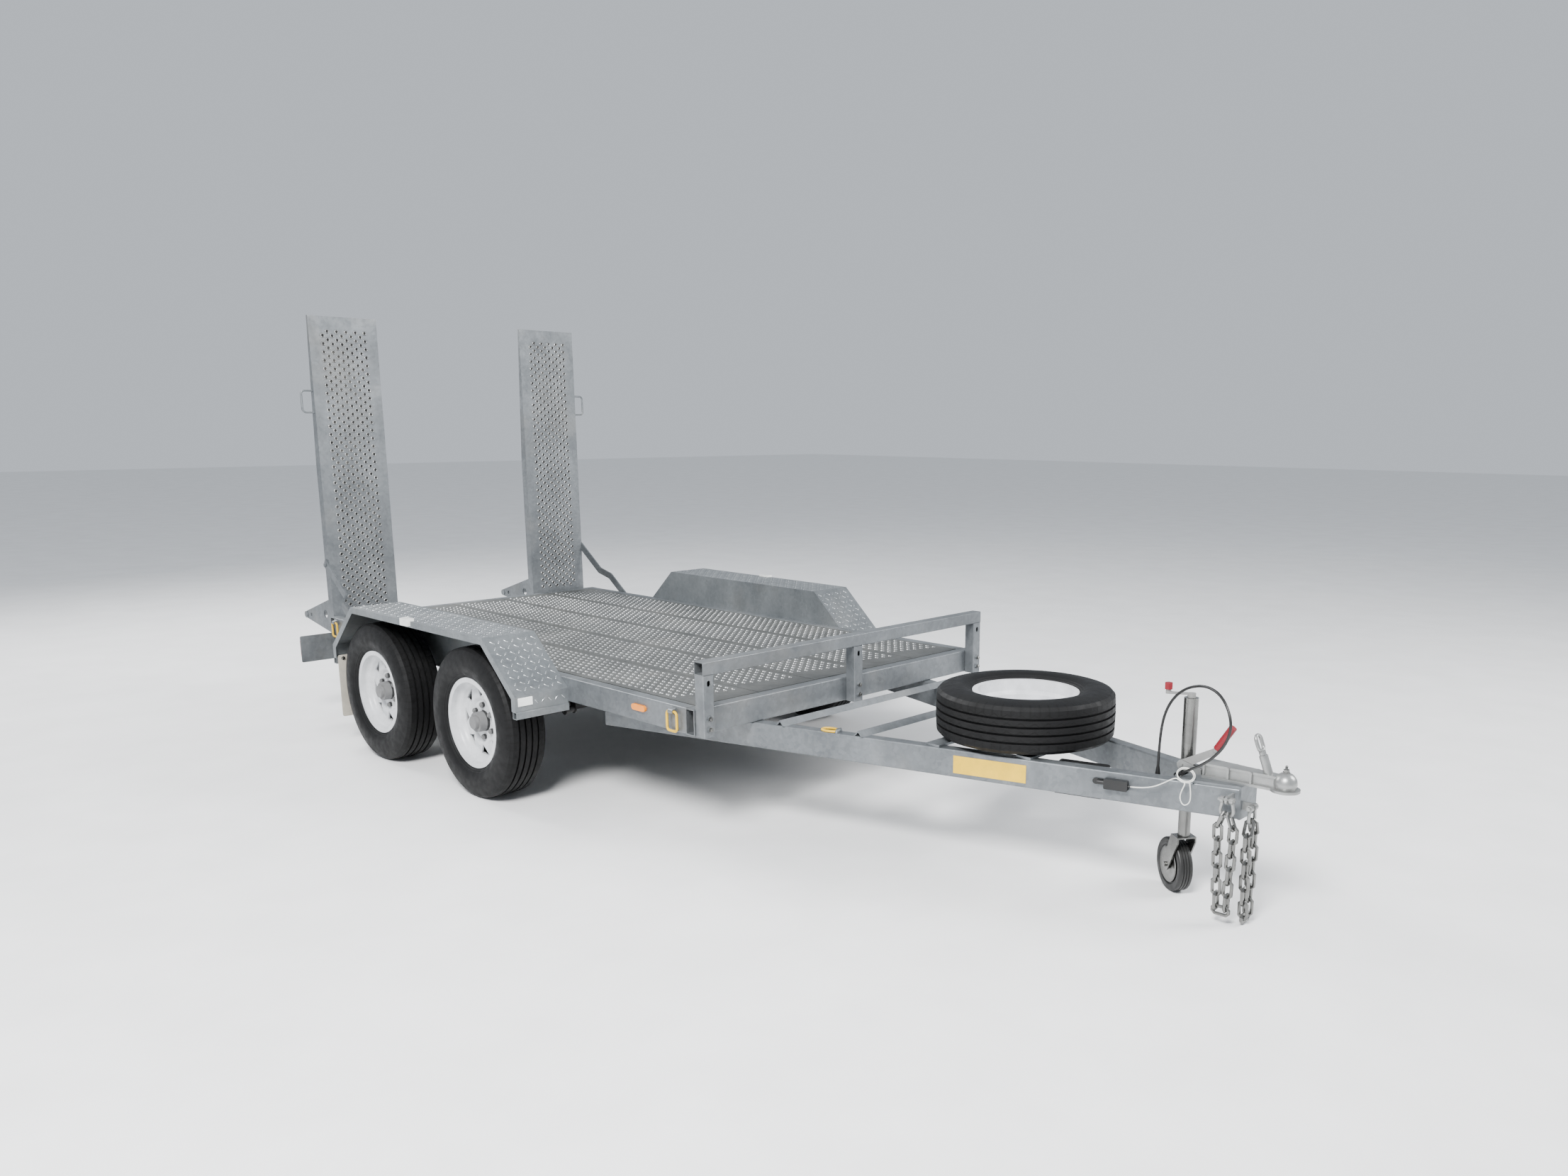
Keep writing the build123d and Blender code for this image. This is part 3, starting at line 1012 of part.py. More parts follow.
# Crank: screw down the tube, head on its cap, flat arm and hexagonal knob
CRANK_HEAD_RADIUS = 14
CRANK_HEAD_HEIGHT = 15
CRANK_HEAD_GAP = 0.3
CRANK_DIR = Vector(-0.888, -0.46, 0).normalized()
CRANK_ARM_HEIGHT = 6
KNOB_RADIUS = 14
KNOB_HEIGHT = 22
CRANK_HEAD_TOP = JOCKEY_TUBE_TOP + CRANK_HEAD_GAP + CRANK_HEAD_HEIGHT
CRANK_END = JOCKEY_FOOT + CRANK_DIR * CRANK_REACH
with BuildPart() as jockey_crank:
    with BuildSketch(Plane.XY.offset(SCREW_LOW)):
        with Locations((JOCKEY_X, JOCKEY_Y)):
            Circle(SCREW_RADIUS)
    extrude(amount=CRANK_HEAD_TOP - SCREW_LOW)
    with BuildSketch(Plane.XY.offset(JOCKEY_TUBE_TOP + CRANK_HEAD_GAP)):
        with Locations((JOCKEY_X, JOCKEY_Y)):
            Circle(CRANK_HEAD_RADIUS)
    extrude(amount=CRANK_HEAD_HEIGHT)
    with BuildSketch(Plane.XY.offset(CRANK_HEAD_TOP - CRANK_ARM_HEIGHT)):
        with Locations((JOCKEY_X, JOCKEY_Y), (CRANK_END.X, CRANK_END.Y)):
            Circle(9)
        make_hull()
    extrude(amount=CRANK_ARM_HEIGHT)
    with BuildSketch(Plane.XY.offset(CRANK_HEAD_TOP)):
        with Locations((CRANK_END.X, CRANK_END.Y)):
            Circle(9)
    extrude(amount=9)
    with BuildSketch(Plane.XY.offset(CRANK_HEAD_TOP + 9)):
        with Locations((CRANK_END.X, CRANK_END.Y)):
            RegularPolygon(KNOB_RADIUS, 6)
    extrude(amount=KNOB_HEIGHT)
jockey_crank.part.label = "jockey_crank"
export_step(jockey_crank.part, "parts/jockey_crank.step")

# Coupling: ribbed cast body bolted to the nose plate, ball dome with a lip, and latch housing
BALL_X = FRONT_X + BALL
COUPLING_REAR_X = FRONT_X + COUPLING_REAR
COUPLING_TOP = NOSE_PLATE_TOP + COUPLING_HEIGHT
LATCH_BASE = Vector(FRONT_X + 1826, 0, COUPLING_TOP - 22)
LATCH_DIR = Vector(-31, 0, 79).normalized()
LATCH_HOUSING_RADIUS = 14
LATCH_HOUSING_LENGTH = 82
PLUNGER_RADIUS = 8
LATCH_PLANE = Plane(origin=LATCH_BASE, x_dir=(0, 1, 0), z_dir=LATCH_DIR)


def coupling_outline(inset):
    """Tapered plan of the coupling body, drawn in the sketch that calls it."""
    rear = COUPLING_REAR_WIDTH / 2 - inset
    neck = COUPLING_NECK_WIDTH / 2 - inset
    Polygon((COUPLING_REAR_X, rear), (COUPLING_REAR_X, -rear), (BALL_X - 60, -neck),
            (BALL_X, -neck), (BALL_X, neck), (BALL_X - 60, neck), align=None)


with BuildPart() as coupling_head:
    with BuildSketch(Plane.XY.offset(NOSE_PLATE_TOP)):
        coupling_outline(0)
    extrude(amount=COUPLING_WALL)
    with BuildSketch(Plane.XY.offset(NOSE_PLATE_TOP)):
        coupling_outline(13)
    extrude(amount=COUPLING_HEIGHT)
    with BuildSketch(Plane.XY.offset(COUPLING_TOP - COUPLING_WALL)):
        coupling_outline(8)
    extrude(amount=COUPLING_WALL)
    for rib_x in (COUPLING_REAR_X + 4, COUPLING_REAR_X + 85, COUPLING_REAR_X + 160):
        rib_width = COUPLING_REAR_WIDTH - (rib_x - COUPLING_REAR_X) * 0.12 - 6
        with BuildSketch(Plane.XY.offset(NOSE_PLATE_TOP)):
            with Locations((rib_x, 0)):
                Rectangle(7, rib_width)
        extrude(amount=COUPLING_HEIGHT - 1)
    with BuildSketch(Plane.XY.offset(NOSE_PLATE_TOP)):
        with Locations((BALL_X, 0)):
            Circle(HEAD_LIP_RADIUS)
    extrude(amount=COUPLING_WALL)
    with Locations((BALL_X, 0, BALL_HEIGHT)):
        Sphere(HEAD_RADIUS)
    with BuildSketch(LATCH_PLANE):
        Circle(LATCH_HOUSING_RADIUS)
    extrude(amount=LATCH_HOUSING_LENGTH)
    with BuildSketch(Plane.XY.offset(NOSE_PLATE_TOP)):
        coupling_outline(13 + COUPLING_WALL)
        with Locations((BALL_X, 0)):
            Rectangle(3 * HEAD_RADIUS, 2 * HEAD_RADIUS, mode=Mode.SUBTRACT)
    extrude(amount=COUPLING_HEIGHT - COUPLING_WALL, mode=Mode.SUBTRACT)
    with BuildSketch(Plane.XY.offset(NOSE_PLATE_TOP)):
        with Locations((BALL_X, 0)):
            Rectangle(4 * HEAD_RADIUS, 4 * HEAD_RADIUS)
    extrude(amount=-2 * HEAD_RADIUS, mode=Mode.SUBTRACT)
    with Locations((BALL_X, 0, BALL_HEIGHT)):
        Sphere(BALL_RADIUS + BALL_CLEARANCE, mode=Mode.SUBTRACT)
    with BuildSketch(Plane.XY.offset(BALL_HEIGHT)):
        with Locations((BALL_X, 0)):
            Circle(BALL_RADIUS + BALL_CLEARANCE)
    extrude(amount=-HEAD_RADIUS, mode=Mode.SUBTRACT)
    with BuildSketch(LATCH_PLANE.offset(LATCH_HOUSING_LENGTH)):
        Circle(PLUNGER_RADIUS + RUNNING_CLEARANCE)
    extrude(amount=-LATCH_HOUSING_LENGTH + 10, mode=Mode.SUBTRACT)
coupling_head.part.label = "coupling_head"
export_step(coupling_head.part, "parts/coupling_head.step")

# Latch plunger with its pull loop
LATCH_GAP = 1
LOOP_HALF_WIDTH = 17
LOOP_LENGTH = 50
LOOP_ROD_RADIUS = 6
LOOP_BASE = LATCH_HOUSING_LENGTH + LATCH_GAP + 14
with BuildPart() as coupling_latch:
    with BuildSketch(LATCH_PLANE.offset(24)):
        Circle(PLUNGER_RADIUS)
    extrude(amount=LOOP_BASE - 24)
    with BuildSketch(LATCH_PLANE.offset(LATCH_HOUSING_LENGTH + LATCH_GAP)):
        Circle(11)
    extrude(amount=14)
    with BuildLine(Plane(origin=LATCH_BASE + LATCH_DIR * LOOP_BASE, x_dir=(0, 1, 0),
                         z_dir=Vector(0, 1, 0).cross(LATCH_DIR))) as loop:
        FilletPolyline((-LOOP_HALF_WIDTH, 0), (-LOOP_HALF_WIDTH, LOOP_LENGTH), (LOOP_HALF_WIDTH, LOOP_LENGTH),
                       (LOOP_HALF_WIDTH, 0), radius=14, close=True)
    with BuildSketch(Plane(origin=loop.line @ 0, z_dir=loop.line % 0)):
        Circle(LOOP_ROD_RADIUS)
    sweep(path=loop.line)
coupling_latch.part.label = "coupling_latch"
export_step(coupling_latch.part, "parts/coupling_latch.step")

# Brake lever bracket: two cheeks on the nose plate
LEVER_Y = -12
LEVER_SHEET = 8
CHEEK_SHEET = 5
CHEEK_GAP = 1
LEVER_PIN_RADIUS = 6
LEVER_X = FRONT_X + LEVER_PIVOT
CHEEK_Y = LEVER_SHEET / 2 + CHEEK_GAP + CHEEK_SHEET / 2
with BuildPart() as lever_bracket:
    for cheek_y in (LEVER_Y - CHEEK_Y, LEVER_Y + CHEEK_Y):
        with BuildSketch(side_view(cheek_y)):
            with Locations((LEVER_X, LEVER_PIVOT_HEIGHT)):
                Circle(16)
            with Locations((NOSE_PLATE_REAR_X + 20, NOSE_PLATE_TOP)):
                Rectangle(40, 18, align=(Align.CENTER, Align.MIN))
            make_hull()
        extrude(amount=CHEEK_SHEET / 2, both=True)
    with BuildSketch(side_view(LEVER_Y)):
        with Locations((LEVER_X, LEVER_PIVOT_HEIGHT)):
            Circle(LEVER_PIN_RADIUS)
    extrude(amount=CHEEK_Y + CHEEK_SHEET / 2 + 4, both=True)
lever_bracket.part.label = "lever_bracket"
export_step(lever_bracket.part, "parts/lever_bracket.step")

# Brake lever: cranked plate with a round grip
LEVER_BEND = (LEVER_X + 112, LEVER_PIVOT_HEIGHT + 64)
LEVER_END = (LEVER_X + 166, LEVER_PIVOT_HEIGHT + 150)
GRIP_RADIUS = 13
with BuildPart() as brake_lever:
    with BuildSketch(side_view(LEVER_Y)):
        with Locations((LEVER_X, LEVER_PIVOT_HEIGHT)):
            Circle(15)
        with Locations(LEVER_BEND):
            Circle(11)
        make_hull()
        with Locations((LEVER_X, LEVER_PIVOT_HEIGHT)):
            Circle(LEVER_PIN_RADIUS + RUNNING_CLEARANCE, mode=Mode.SUBTRACT)
    extrude(amount=LEVER_SHEET / 2, both=True)
    grip_start = Vector(LEVER_BEND[0], LEVER_Y, LEVER_BEND[1])
    grip_end = Vector(LEVER_END[0], LEVER_Y, LEVER_END[1])
    grip_dir = (grip_end - grip_start).normalized()
    with BuildSketch(Plane(origin=grip_start, x_dir=(0, 1, 0), z_dir=grip_dir)):
        Circle(GRIP_RADIUS - 3)
    extrude(amount=(grip_end - grip_start).length)
    with BuildSketch(Plane(origin=grip_start + grip_dir * 12, x_dir=(0, 1, 0), z_dir=grip_dir)):
        Circle(GRIP_RADIUS)
    extrude(amount=(grip_end - grip_start).length - 8)
brake_lever.part.label = "brake_lever"
export_step(brake_lever.part, "parts/brake_lever.step")

# Tie rings: welded saddles, each holding a swinging oblong ring
RING_ROD_RADIUS = 5
RING_WIDTH = 58
RING_HEIGHT = 74
RING_STANDOFF = 12
SADDLE_WIDTH = 26
SADDLE_WALL = 4
RING_DROP = 22
RING_SITES = {
    "side": (FRONT_X - 116, HALF_WIDTH, DECK_HEIGHT - RING_DROP),
    "rear": (REAR_X + 75, HALF_WIDTH, DECK_HEIGHT - RING_DROP),
}
with BuildPart() as tie_ring_saddles:
    for ring_x, face_y, ring_z in RING_SITES.values():
        for sign in SIDES.values():
            with BuildSketch(end_view(ring_x)):
                with Locations((sign * (face_y + RING_STANDOFF), ring_z)):
                    Circle(RING_ROD_RADIUS + 1 + SADDLE_WALL)
                with Locations((sign * (face_y + 0.5), ring_z)):
                    Rectangle(1, 2 * (RING_ROD_RADIUS + 1 + SADDLE_WALL) + 6)
                make_hull()
                with Locations((sign * (face_y + RING_STANDOFF), ring_z)):
                    Circle(RING_ROD_RADIUS + 1, mode=Mode.SUBTRACT)
            extrude(amount=SADDLE_WIDTH / 2, both=True)
tie_ring_saddles.part.label = "tie_ring_saddles"
export_step(tie_ring_saddles.part, "parts/tie_ring_saddles.step")

for site, (ring_x, face_y, ring_z) in RING_SITES.items():
    for side, sign in SIDES.items():
        bar = Vector(ring_x, sign * (face_y + RING_STANDOFF), ring_z)
        with BuildPart() as tie_ring:
            with BuildLine(side_view(bar.Y)) as loop:
                FilletPolyline(
                    (ring_x - RING_WIDTH / 2, ring_z),
                    (ring_x - RING_WIDTH / 2, ring_z - RING_HEIGHT),
                    (ring_x + RING_WIDTH / 2, ring_z - RING_HEIGHT),
                    (ring_x + RING_WIDTH / 2, ring_z),
                    radius=14,
                    close=True,
                )
            with BuildSketch(Plane(origin=loop.line @ 0, z_dir=loop.line % 0)):
                Circle(RING_ROD_RADIUS)
            sweep(path=loop.line)
        tie_ring.part.label = f"tie_ring_{site}_{side}"
        export_step(tie_ring.part, f"parts/tie_ring_{site}_{side}.step")

# Safety chains: each hangs doubled from a bow shackle, with a last link that joins its two strands
CHAIN_GAP = 0.3
LINK_PITCH = LINK_LENGTH - 2 * LINK_ROD + CHAIN_GAP
LINK_CHAMFER = 2.9
LINK_CORNER = 11
BOW_ROD_RADIUS = 5.5
BOW_DEPTH = 54
BOW_HALF = 26
EAR_HALF = 16
SHACKLE_PIN_RADIUS = 6
TOP_LINK_SHIFT = 7.5
TOP_LINK_DROP = 41
TOP_LINK_LEAN = radians(20)
LAST_LINK_SHIFT = 17
with BuildPart() as chain_link:
    with BuildSketch(Plane.XZ):
        Rectangle(LINK_WIDTH, LINK_LENGTH)
        chamfer(vertices(), LINK_CORNER)
        with BuildSketch(mode=Mode.SUBTRACT):
            Rectangle(LINK_WIDTH - 2 * LINK_ROD, LINK_LENGTH - 2 * LINK_ROD)
            chamfer(vertices(), LINK_CORNER / 2)
    extrude(amount=LINK_ROD / 2, both=True)
    chamfer(edges().filter_by(Axis.Y, reverse=True), LINK_CHAMFER)


def link_location(upper, lower, facing):
    """Place of a link whose end rods lie round two points, turned about its length by facing."""
    along = (upper - lower).normalized()
    return Location(Plane(origin=(upper + lower) / 2, x_dir=facing - along * facing.dot(along), z_dir=along))


def chain_locations(pin, across):
    """Places of all links of a doubled chain under a shackle pin that points along across."""
    square = across.cross(Vector(0, 0, 1))
    rods = LINK_LENGTH - LINK_ROD
    places = []
    for turn in (-1, 1):
        upper = pin + across * (turn * TOP_LINK_SHIFT) - Vector(0, 0, TOP_LINK_DROP)
        lower = upper + across * (turn * rods * sin(TOP_LINK_LEAN)) - Vector(0, 0, rods * cos(TOP_LINK_LEAN))
        places.append(link_location(upper, lower, square))
        shift = turn * (TOP_LINK_SHIFT + rods * sin(TOP_LINK_LEAN))
        narrowing = (turn * LAST_LINK_SHIFT - shift) / (STRAND_LINKS - 1)
        step = across * narrowing - Vector(0, 0, LINK_PITCH)
        for link in range(1, STRAND_LINKS):
            lower = lower + step
            upper = lower - step.normalized() * rods
            places.append(link_location(upper, lower, across if link % 2 else square))
    last = pin - Vector(0, 0, pin.Z - lower.Z + 3)
    places.append(link_location(last + across * rods / 2, last - across * rods / 2, Vector(0, 0, 1)))
    return places


NEAR_PIN = Vector(FRONT_X + NEAR_CHAIN[0], NEAR_CHAIN[1], NEAR_PIN_HEIGHT)
FAR_PIN = Vector(FRONT_X + FAR_CHAIN[0], FAR_CHAIN[1], FAR_PIN_HEIGHT)
FORWARD = Vector(1, 0, 0)
LEFTWARD = Vector(0, 1, 0)
with BuildPart() as safety_chains:
    for pin, across in ((NEAR_PIN, FORWARD), (FAR_PIN, LEFTWARD)):
        with Locations(*chain_locations(pin, across)):
            add(chain_link.part)
safety_chains.part.label = "safety_chains"
export_step(safety_chains.part, "parts/safety_chains.step")

# Bow shackles with the lugs that carry them: one on the right drawbar tube, one on the nose plate
LUG_HOLE_RADIUS = SHACKLE_PIN_RADIUS + 0.3
LUG_EYE_RADIUS = 14
with BuildPart() as chain_shackles:
    with BuildSketch(end_view(NEAR_PIN.X)):
        with Locations((NEAR_PIN.Y, NEAR_PIN.Z)):
            Circle(LUG_EYE_RADIUS)
            Rectangle(-drawbar_outer_y(NEAR_PIN.X) - NEAR_PIN.Y - 1.5, 2 * LUG_EYE_RADIUS,
                      align=(Align.MIN, Align.CENTER))
            Circle(LUG_HOLE_RADIUS, mode=Mode.SUBTRACT)
    extrude(amount=CHAIN_LUG_SHEET / 2, both=True)
    with BuildSketch(side_view(FAR_PIN.Y)):
        with Locations((FAR_PIN.X, FAR_PIN.Z)):
            Circle(LUG_EYE_RADIUS)
            Rectangle(FAR_PIN.X - DRAWBAR_NOSE_X - NOSE_PLATE_THICKNESS, 2 * LUG_EYE_RADIUS,
                      align=(Align.MAX, Align.CENTER))
            Circle(LUG_HOLE_RADIUS, mode=Mode.SUBTRACT)
    extrude(amount=CHAIN_LUG_SHEET / 2, both=True)
    for pin, across in ((NEAR_PIN, FORWARD), (FAR_PIN, LEFTWARD)):
        with BuildLine(Plane(origin=pin, x_dir=across, z_dir=across.cross(Vector(0, 0, 1)))) as bow:
            FilletPolyline((-EAR_HALF, 0), (-BOW_HALF, -BOW_DEPTH), (BOW_HALF, -BOW_DEPTH), (EAR_HALF, 0),
                           radius=21)
        with BuildSketch(Plane(origin=bow.line @ 0, z_dir=bow.line % 0)):
            Circle(BOW_ROD_RADIUS)
        sweep(path=bow.line)
        with BuildSketch(Plane(origin=pin - across * (EAR_HALF + BOW_ROD_RADIUS), z_dir=across)):
            Circle(11)
        extrude(amount=2 * BOW_ROD_RADIUS)
        with BuildSketch(Plane(origin=pin + across * (EAR_HALF - BOW_ROD_RADIUS), z_dir=across)):
            Circle(11)
        extrude(amount=2 * BOW_ROD_RADIUS)
        with BuildSketch(Plane(origin=pin - across * (EAR_HALF + BOW_ROD_RADIUS + 9), z_dir=across)):
            Circle(SHACKLE_PIN_RADIUS)
        extrude(amount=2 * (EAR_HALF + BOW_ROD_RADIUS) + 12)
chain_shackles.part.label = "chain_shackles"
export_step(chain_shackles.part, "parts/chain_shackles.step")

# Light boards behind the ends of the rear beam, each with its tail lamp
LAMP_DEPTH = 28
LAMP_INNER_Y = HALF_WIDTH + 34
LAMP_WIDTH = LIGHT_BOARD_REACH - LAMP_INNER_Y - 8
LAMP_HEIGHT = LIGHT_BOARD_TOP - LIGHT_BOARD_BOTTOM - 40
LIGHT_BOARD_INNER_Y = HALF_WIDTH - 28
with BuildPart() as light_boards:
    for sign in SIDES.values():
        with BuildSketch(end_view(REAR_X)):
            with Locations((sign * (LIGHT_BOARD_INNER_Y + LIGHT_BOARD_REACH) / 2,
                            (LIGHT_BOARD_TOP + LIGHT_BOARD_BOTTOM) / 2)):
                RectangleRounded(LIGHT_BOARD_REACH - LIGHT_BOARD_INNER_Y, LIGHT_BOARD_TOP - LIGHT_BOARD_BOTTOM, 8)
        extrude(amount=-LIGHT_BOARD_SHEET)
light_boards.part.label = "light_boards"
export_step(light_boards.part, "parts/light_boards.step")

# Signal lamps: tail lamps on the light boards, and an amber marker on each side rail
MARKER_LENGTH = 84
MARKER_HEIGHT = 24
MARKER_DEPTH = 9
with BuildPart() as signal_lamps:
    for sign in SIDES.values():
        with BuildSketch(end_view(REAR_X - LIGHT_BOARD_SHEET)):
            with Locations((sign * (LAMP_INNER_Y + LAMP_WIDTH / 2), (LIGHT_BOARD_TOP + LIGHT_BOARD_BOTTOM) / 2)):
                RectangleRounded(LAMP_WIDTH, LAMP_HEIGHT, 10)
        extrude(amount=-LAMP_DEPTH, taper=4)
        with BuildSketch(side_view(sign * HALF_WIDTH)):
            with Locations((FRONT_X - SIDE_MARKER_SETBACK, DECK_HEIGHT - 44)):
                SlotOverall(MARKER_LENGTH, MARKER_HEIGHT)
        extrude(amount=-sign * MARKER_DEPTH)
signal_lamps.part.label = "signal_lamps"
export_step(signal_lamps.part, "parts/signal_lamps.step")

# Clear marker lamps that sit over the outer edge of each guard
GUARD_LAMP_LENGTH = 70
GUARD_LAMP_RISE = 12
GUARD_LAMP_DROP = 21
GUARD_LAMP_STANDOFF = 14
with BuildPart() as marker_lamps:
    for sign in SIDES.values():
        with BuildSketch(end_view(FRONT_X - GUARD_LAMP_SETBACK)):
            with BuildLine():
                Polyline(
                    (sign * (GUARD_OUTER_Y - 18), GUARD_TOP),
                    (sign * (GUARD_OUTER_Y - 18), GUARD_TOP + GUARD_LAMP_RISE),
                    (sign * (GUARD_OUTER_Y + GUARD_LAMP_STANDOFF), GUARD_TOP + GUARD_LAMP_RISE - 2),
                    (sign * (GUARD_OUTER_Y + GUARD_LAMP_STANDOFF), GUARD_TOP - GUARD_LAMP_DROP),
                    (sign * GUARD_OUTER_Y, GUARD_TOP - GUARD_LAMP_DROP),
                    (sign * GUARD_OUTER_Y, GUARD_TOP),
                    close=True,
                )
            make_face()
        extrude(amount=GUARD_LAMP_LENGTH / 2, both=True)
marker_lamps.part.label = "marker_lamps"
export_step(marker_lamps.part, "parts/marker_lamps.step")

# Mud flaps bolted to the front face of each rear outrigger
FLAP_X = OUTRIGGER_XS[1] + OUTRIGGER_SIDE / 2
FLAP_TOP = GUARD_HEM + 12
FLAP_OUTER_Y = GUARD_OUTER_Y - 8
with BuildPart() as mud_flaps:
    for sign in SIDES.values():
        with BuildSketch(end_view(FLAP_X)):
            with Locations((sign * (FLAP_OUTER_Y - FLAP_WIDTH / 2), (FLAP_TOP + FLAP_BOTTOM) / 2)):
                RectangleRounded(FLAP_WIDTH, FLAP_TOP - FLAP_BOTTOM, 10)
        extrude(amount=FLAP_SHEET)
mud_flaps.part.label = "mud_flaps"
export_step(mud_flaps.part, "parts/mud_flaps.step")

# Battery box on the inner face of the right drawbar tube
BATTERY_X = FRONT_X + BATTERY_SETBACK
TUBE_HEADING = Vector(cos(DRAWBAR_ANGLE), sin(DRAWBAR_ANGLE), 0)
TUBE_INWARD = Vector(-TUBE_HEADING.Y, TUBE_HEADING.X, 0)
BATTERY_PLACE = Plane(origin=Vector(BATTERY_X, -drawbar_inner_y(BATTERY_X), BATTERY_BOTTOM),
                      x_dir=TUBE_HEADING, z_dir=(0, 0, 1))
LID_HEIGHT = 16
with BuildPart() as battery_box:
    with BuildSketch(BATTERY_PLACE):
        with Locations((0, BATTERY_DEPTH / 2)):
            RectangleRounded(BATTERY_LENGTH - 8, BATTERY_DEPTH, 6)
    extrude(amount=BATTERY_HEIGHT - LID_HEIGHT)
    with BuildSketch(BATTERY_PLACE.offset(BATTERY_HEIGHT - LID_HEIGHT)):
        with Locations((0, BATTERY_DEPTH / 2 + 2)):
            RectangleRounded(BATTERY_LENGTH, BATTERY_DEPTH + 4, 7)
    extrude(amount=LID_HEIGHT)
    with BuildSketch(BATTERY_PLACE.offset(BATTERY_HEIGHT - 2 * LID_HEIGHT)):
        with Locations((-BATTERY_LENGTH / 2 - 1, BATTERY_DEPTH / 2), (BATTERY_LENGTH / 2 + 1, BATTERY_DEPTH / 2)):
            Rectangle(10, 26)
    extrude(amount=2 * LID_HEIGHT - 4)
battery_box.part.label = "battery_box"
export_step(battery_box.part, "parts/battery_box.step")

# Breakaway switch on the outer face of the right drawbar tube, with its pull pin at the front
SWITCH_X = FRONT_X + SWITCH_SETBACK
SWITCH_Z = DECK_HEIGHT - 139
SWITCH_PLACE = Plane(origin=Vector(SWITCH_X, -drawbar_outer_y(SWITCH_X), SWITCH_Z), x_dir=TUBE_HEADING,
                     z_dir=-TUBE_INWARD)
with BuildPart() as breakaway_switch:
    with BuildSketch(SWITCH_PLACE):
        RectangleRounded(SWITCH_LENGTH, SWITCH_HEIGHT, 4)
        with Locations((-SWITCH_LENGTH / 2 - 14, 2)):
            SlotOverall(56, 20)
    extrude(amount=6)
    with BuildSketch(SWITCH_PLACE):
        RectangleRounded(SWITCH_LENGTH, SWITCH_HEIGHT, 4)
    extrude(amount=SWITCH_DEPTH)
    with BuildSketch(Plane(origin=SWITCH_PLACE.from_local_coords(Vector(-SWITCH_LENGTH / 2, 2, SWITCH_DEPTH / 2)),
                           z_dir=-TUBE_HEADING)):
        Circle(8)
    extrude(amount=24)
    with BuildSketch(Plane(origin=SWITCH_PLACE.from_local_coords(Vector(SWITCH_LENGTH / 2, 0, SWITCH_DEPTH / 2)),
                           z_dir=TUBE_HEADING)):
        Circle(4)
    extrude(amount=8)
breakaway_switch.part.label = "breakaway_switch"
export_step(breakaway_switch.part, "parts/breakaway_switch.step")

# Electric lead: up from a boot behind the right drawbar tube, over in a hoop, and down into the tube's top wall
LEAD_RADIUS = 4.5
LEAD_ROUTE = (
    (1459, -49, 463),
    (1460, -50, 560),
    (1479, -60, 650),
    (1526, -87, 717),
    (1594, -126, 764),
    (1682, -177, 789),
    (1757, -220, 771),
    (1801, -245, 706),
    (1785, -236, 638),
    (1727, -202, 573),
    (1652, -157, 519),
    (1571, -90, 472),
)


def arc_radii(points):
    """Radius at each inner point: 0.45 of the shorter run beside it, over the tangent of half its turn."""
    radii = []
    for before, corner, after in zip(points, points[1:], points[2:]):
        half_turn = radians((corner - before).get_angle(after - corner)) / 2
        radii.append(0.45 * min((corner - before).length, (after - corner).length) / tan(half_turn))
    return radii


def make_cord(points, radius):
    """Round cord along straight runs joined by tangent arcs."""
    radii = arc_radii(points)
    print("cord radii", [round(r) for r in radii])
    with BuildPart() as cord:
        with BuildLine() as path:
            FilletPolyline(*points, radius=radii)
        with BuildSketch(Plane(origin=path.line @ 0, z_dir=path.line % 0)):
            Circle(radius)
        sweep(path=path.line)
    length = path.wire().length
    print("cord length", round(length), "volume share", round(cord.part.volume / (length * pi * radius ** 2), 4))
    return cord.part


lead_points = [Vector(FRONT_X + x, y, z) for x, y, z in LEAD_ROUTE]
electric_lead = make_cord(lead_points, LEAD_RADIUS)
electric_lead.label = "electric_lead"
export_step(electric_lead, "parts/electric_lead.step")

# Boot and bracket where the lead starts, and the grommet where it ends
BOOT_BASE = DECK_HEIGHT - 140
BOOT_SHEET = 6
BOOT_X = lead_points[0].X
BOOT_Y = lead_points[0].Y
LEAD_END_DIR = (lead_points[-2] - lead_points[-1]).normalized()
GROMMET_LENGTH = (lead_points[-1].Z - NOSE_PLATE_TOP) / LEAD_END_DIR.Z
with BuildPart() as lead_gland:
    with BuildSketch(Plane.XY.offset(BOOT_BASE)):
        with Locations((BOOT_X, BOOT_Y)):
            Circle(13)
    extrude(amount=lead_points[0].Z - BOOT_BASE, taper=8)
    with BuildSketch(Plane.XY.offset(BOOT_BASE - BOOT_SHEET)):
        with BuildLine():
            Polyline(
                (BOOT_X - 20, BOOT_Y + 18),
                (BOOT_X + 20, BOOT_Y + 18),
                (BOOT_X + 20, -drawbar_inner_y(BOOT_X + 20)),
                (BOOT_X - 20, -drawbar_inner_y(BOOT_X - 20)),
                close=True,
            )
        make_face()
    extrude(amount=BOOT_SHEET)
    with BuildSketch(Plane(origin=lead_points[-1], z_dir=-LEAD_END_DIR)):
        Circle(LEAD_RADIUS + 3)
    extrude(amount=GROMMET_LENGTH + 2 * LEAD_RADIUS + 6)
    with BuildSketch(Plane.XY.offset(NOSE_PLATE_TOP)):
        with Locations((lead_points[-1].X, lead_points[-1].Y)):
            Rectangle(90, 90)
    extrude(amount=-TUBE_HEIGHT, mode=Mode.SUBTRACT)
lead_gland.part.label = "lead_gland"
export_step(lead_gland.part, "parts/lead_gland.step")

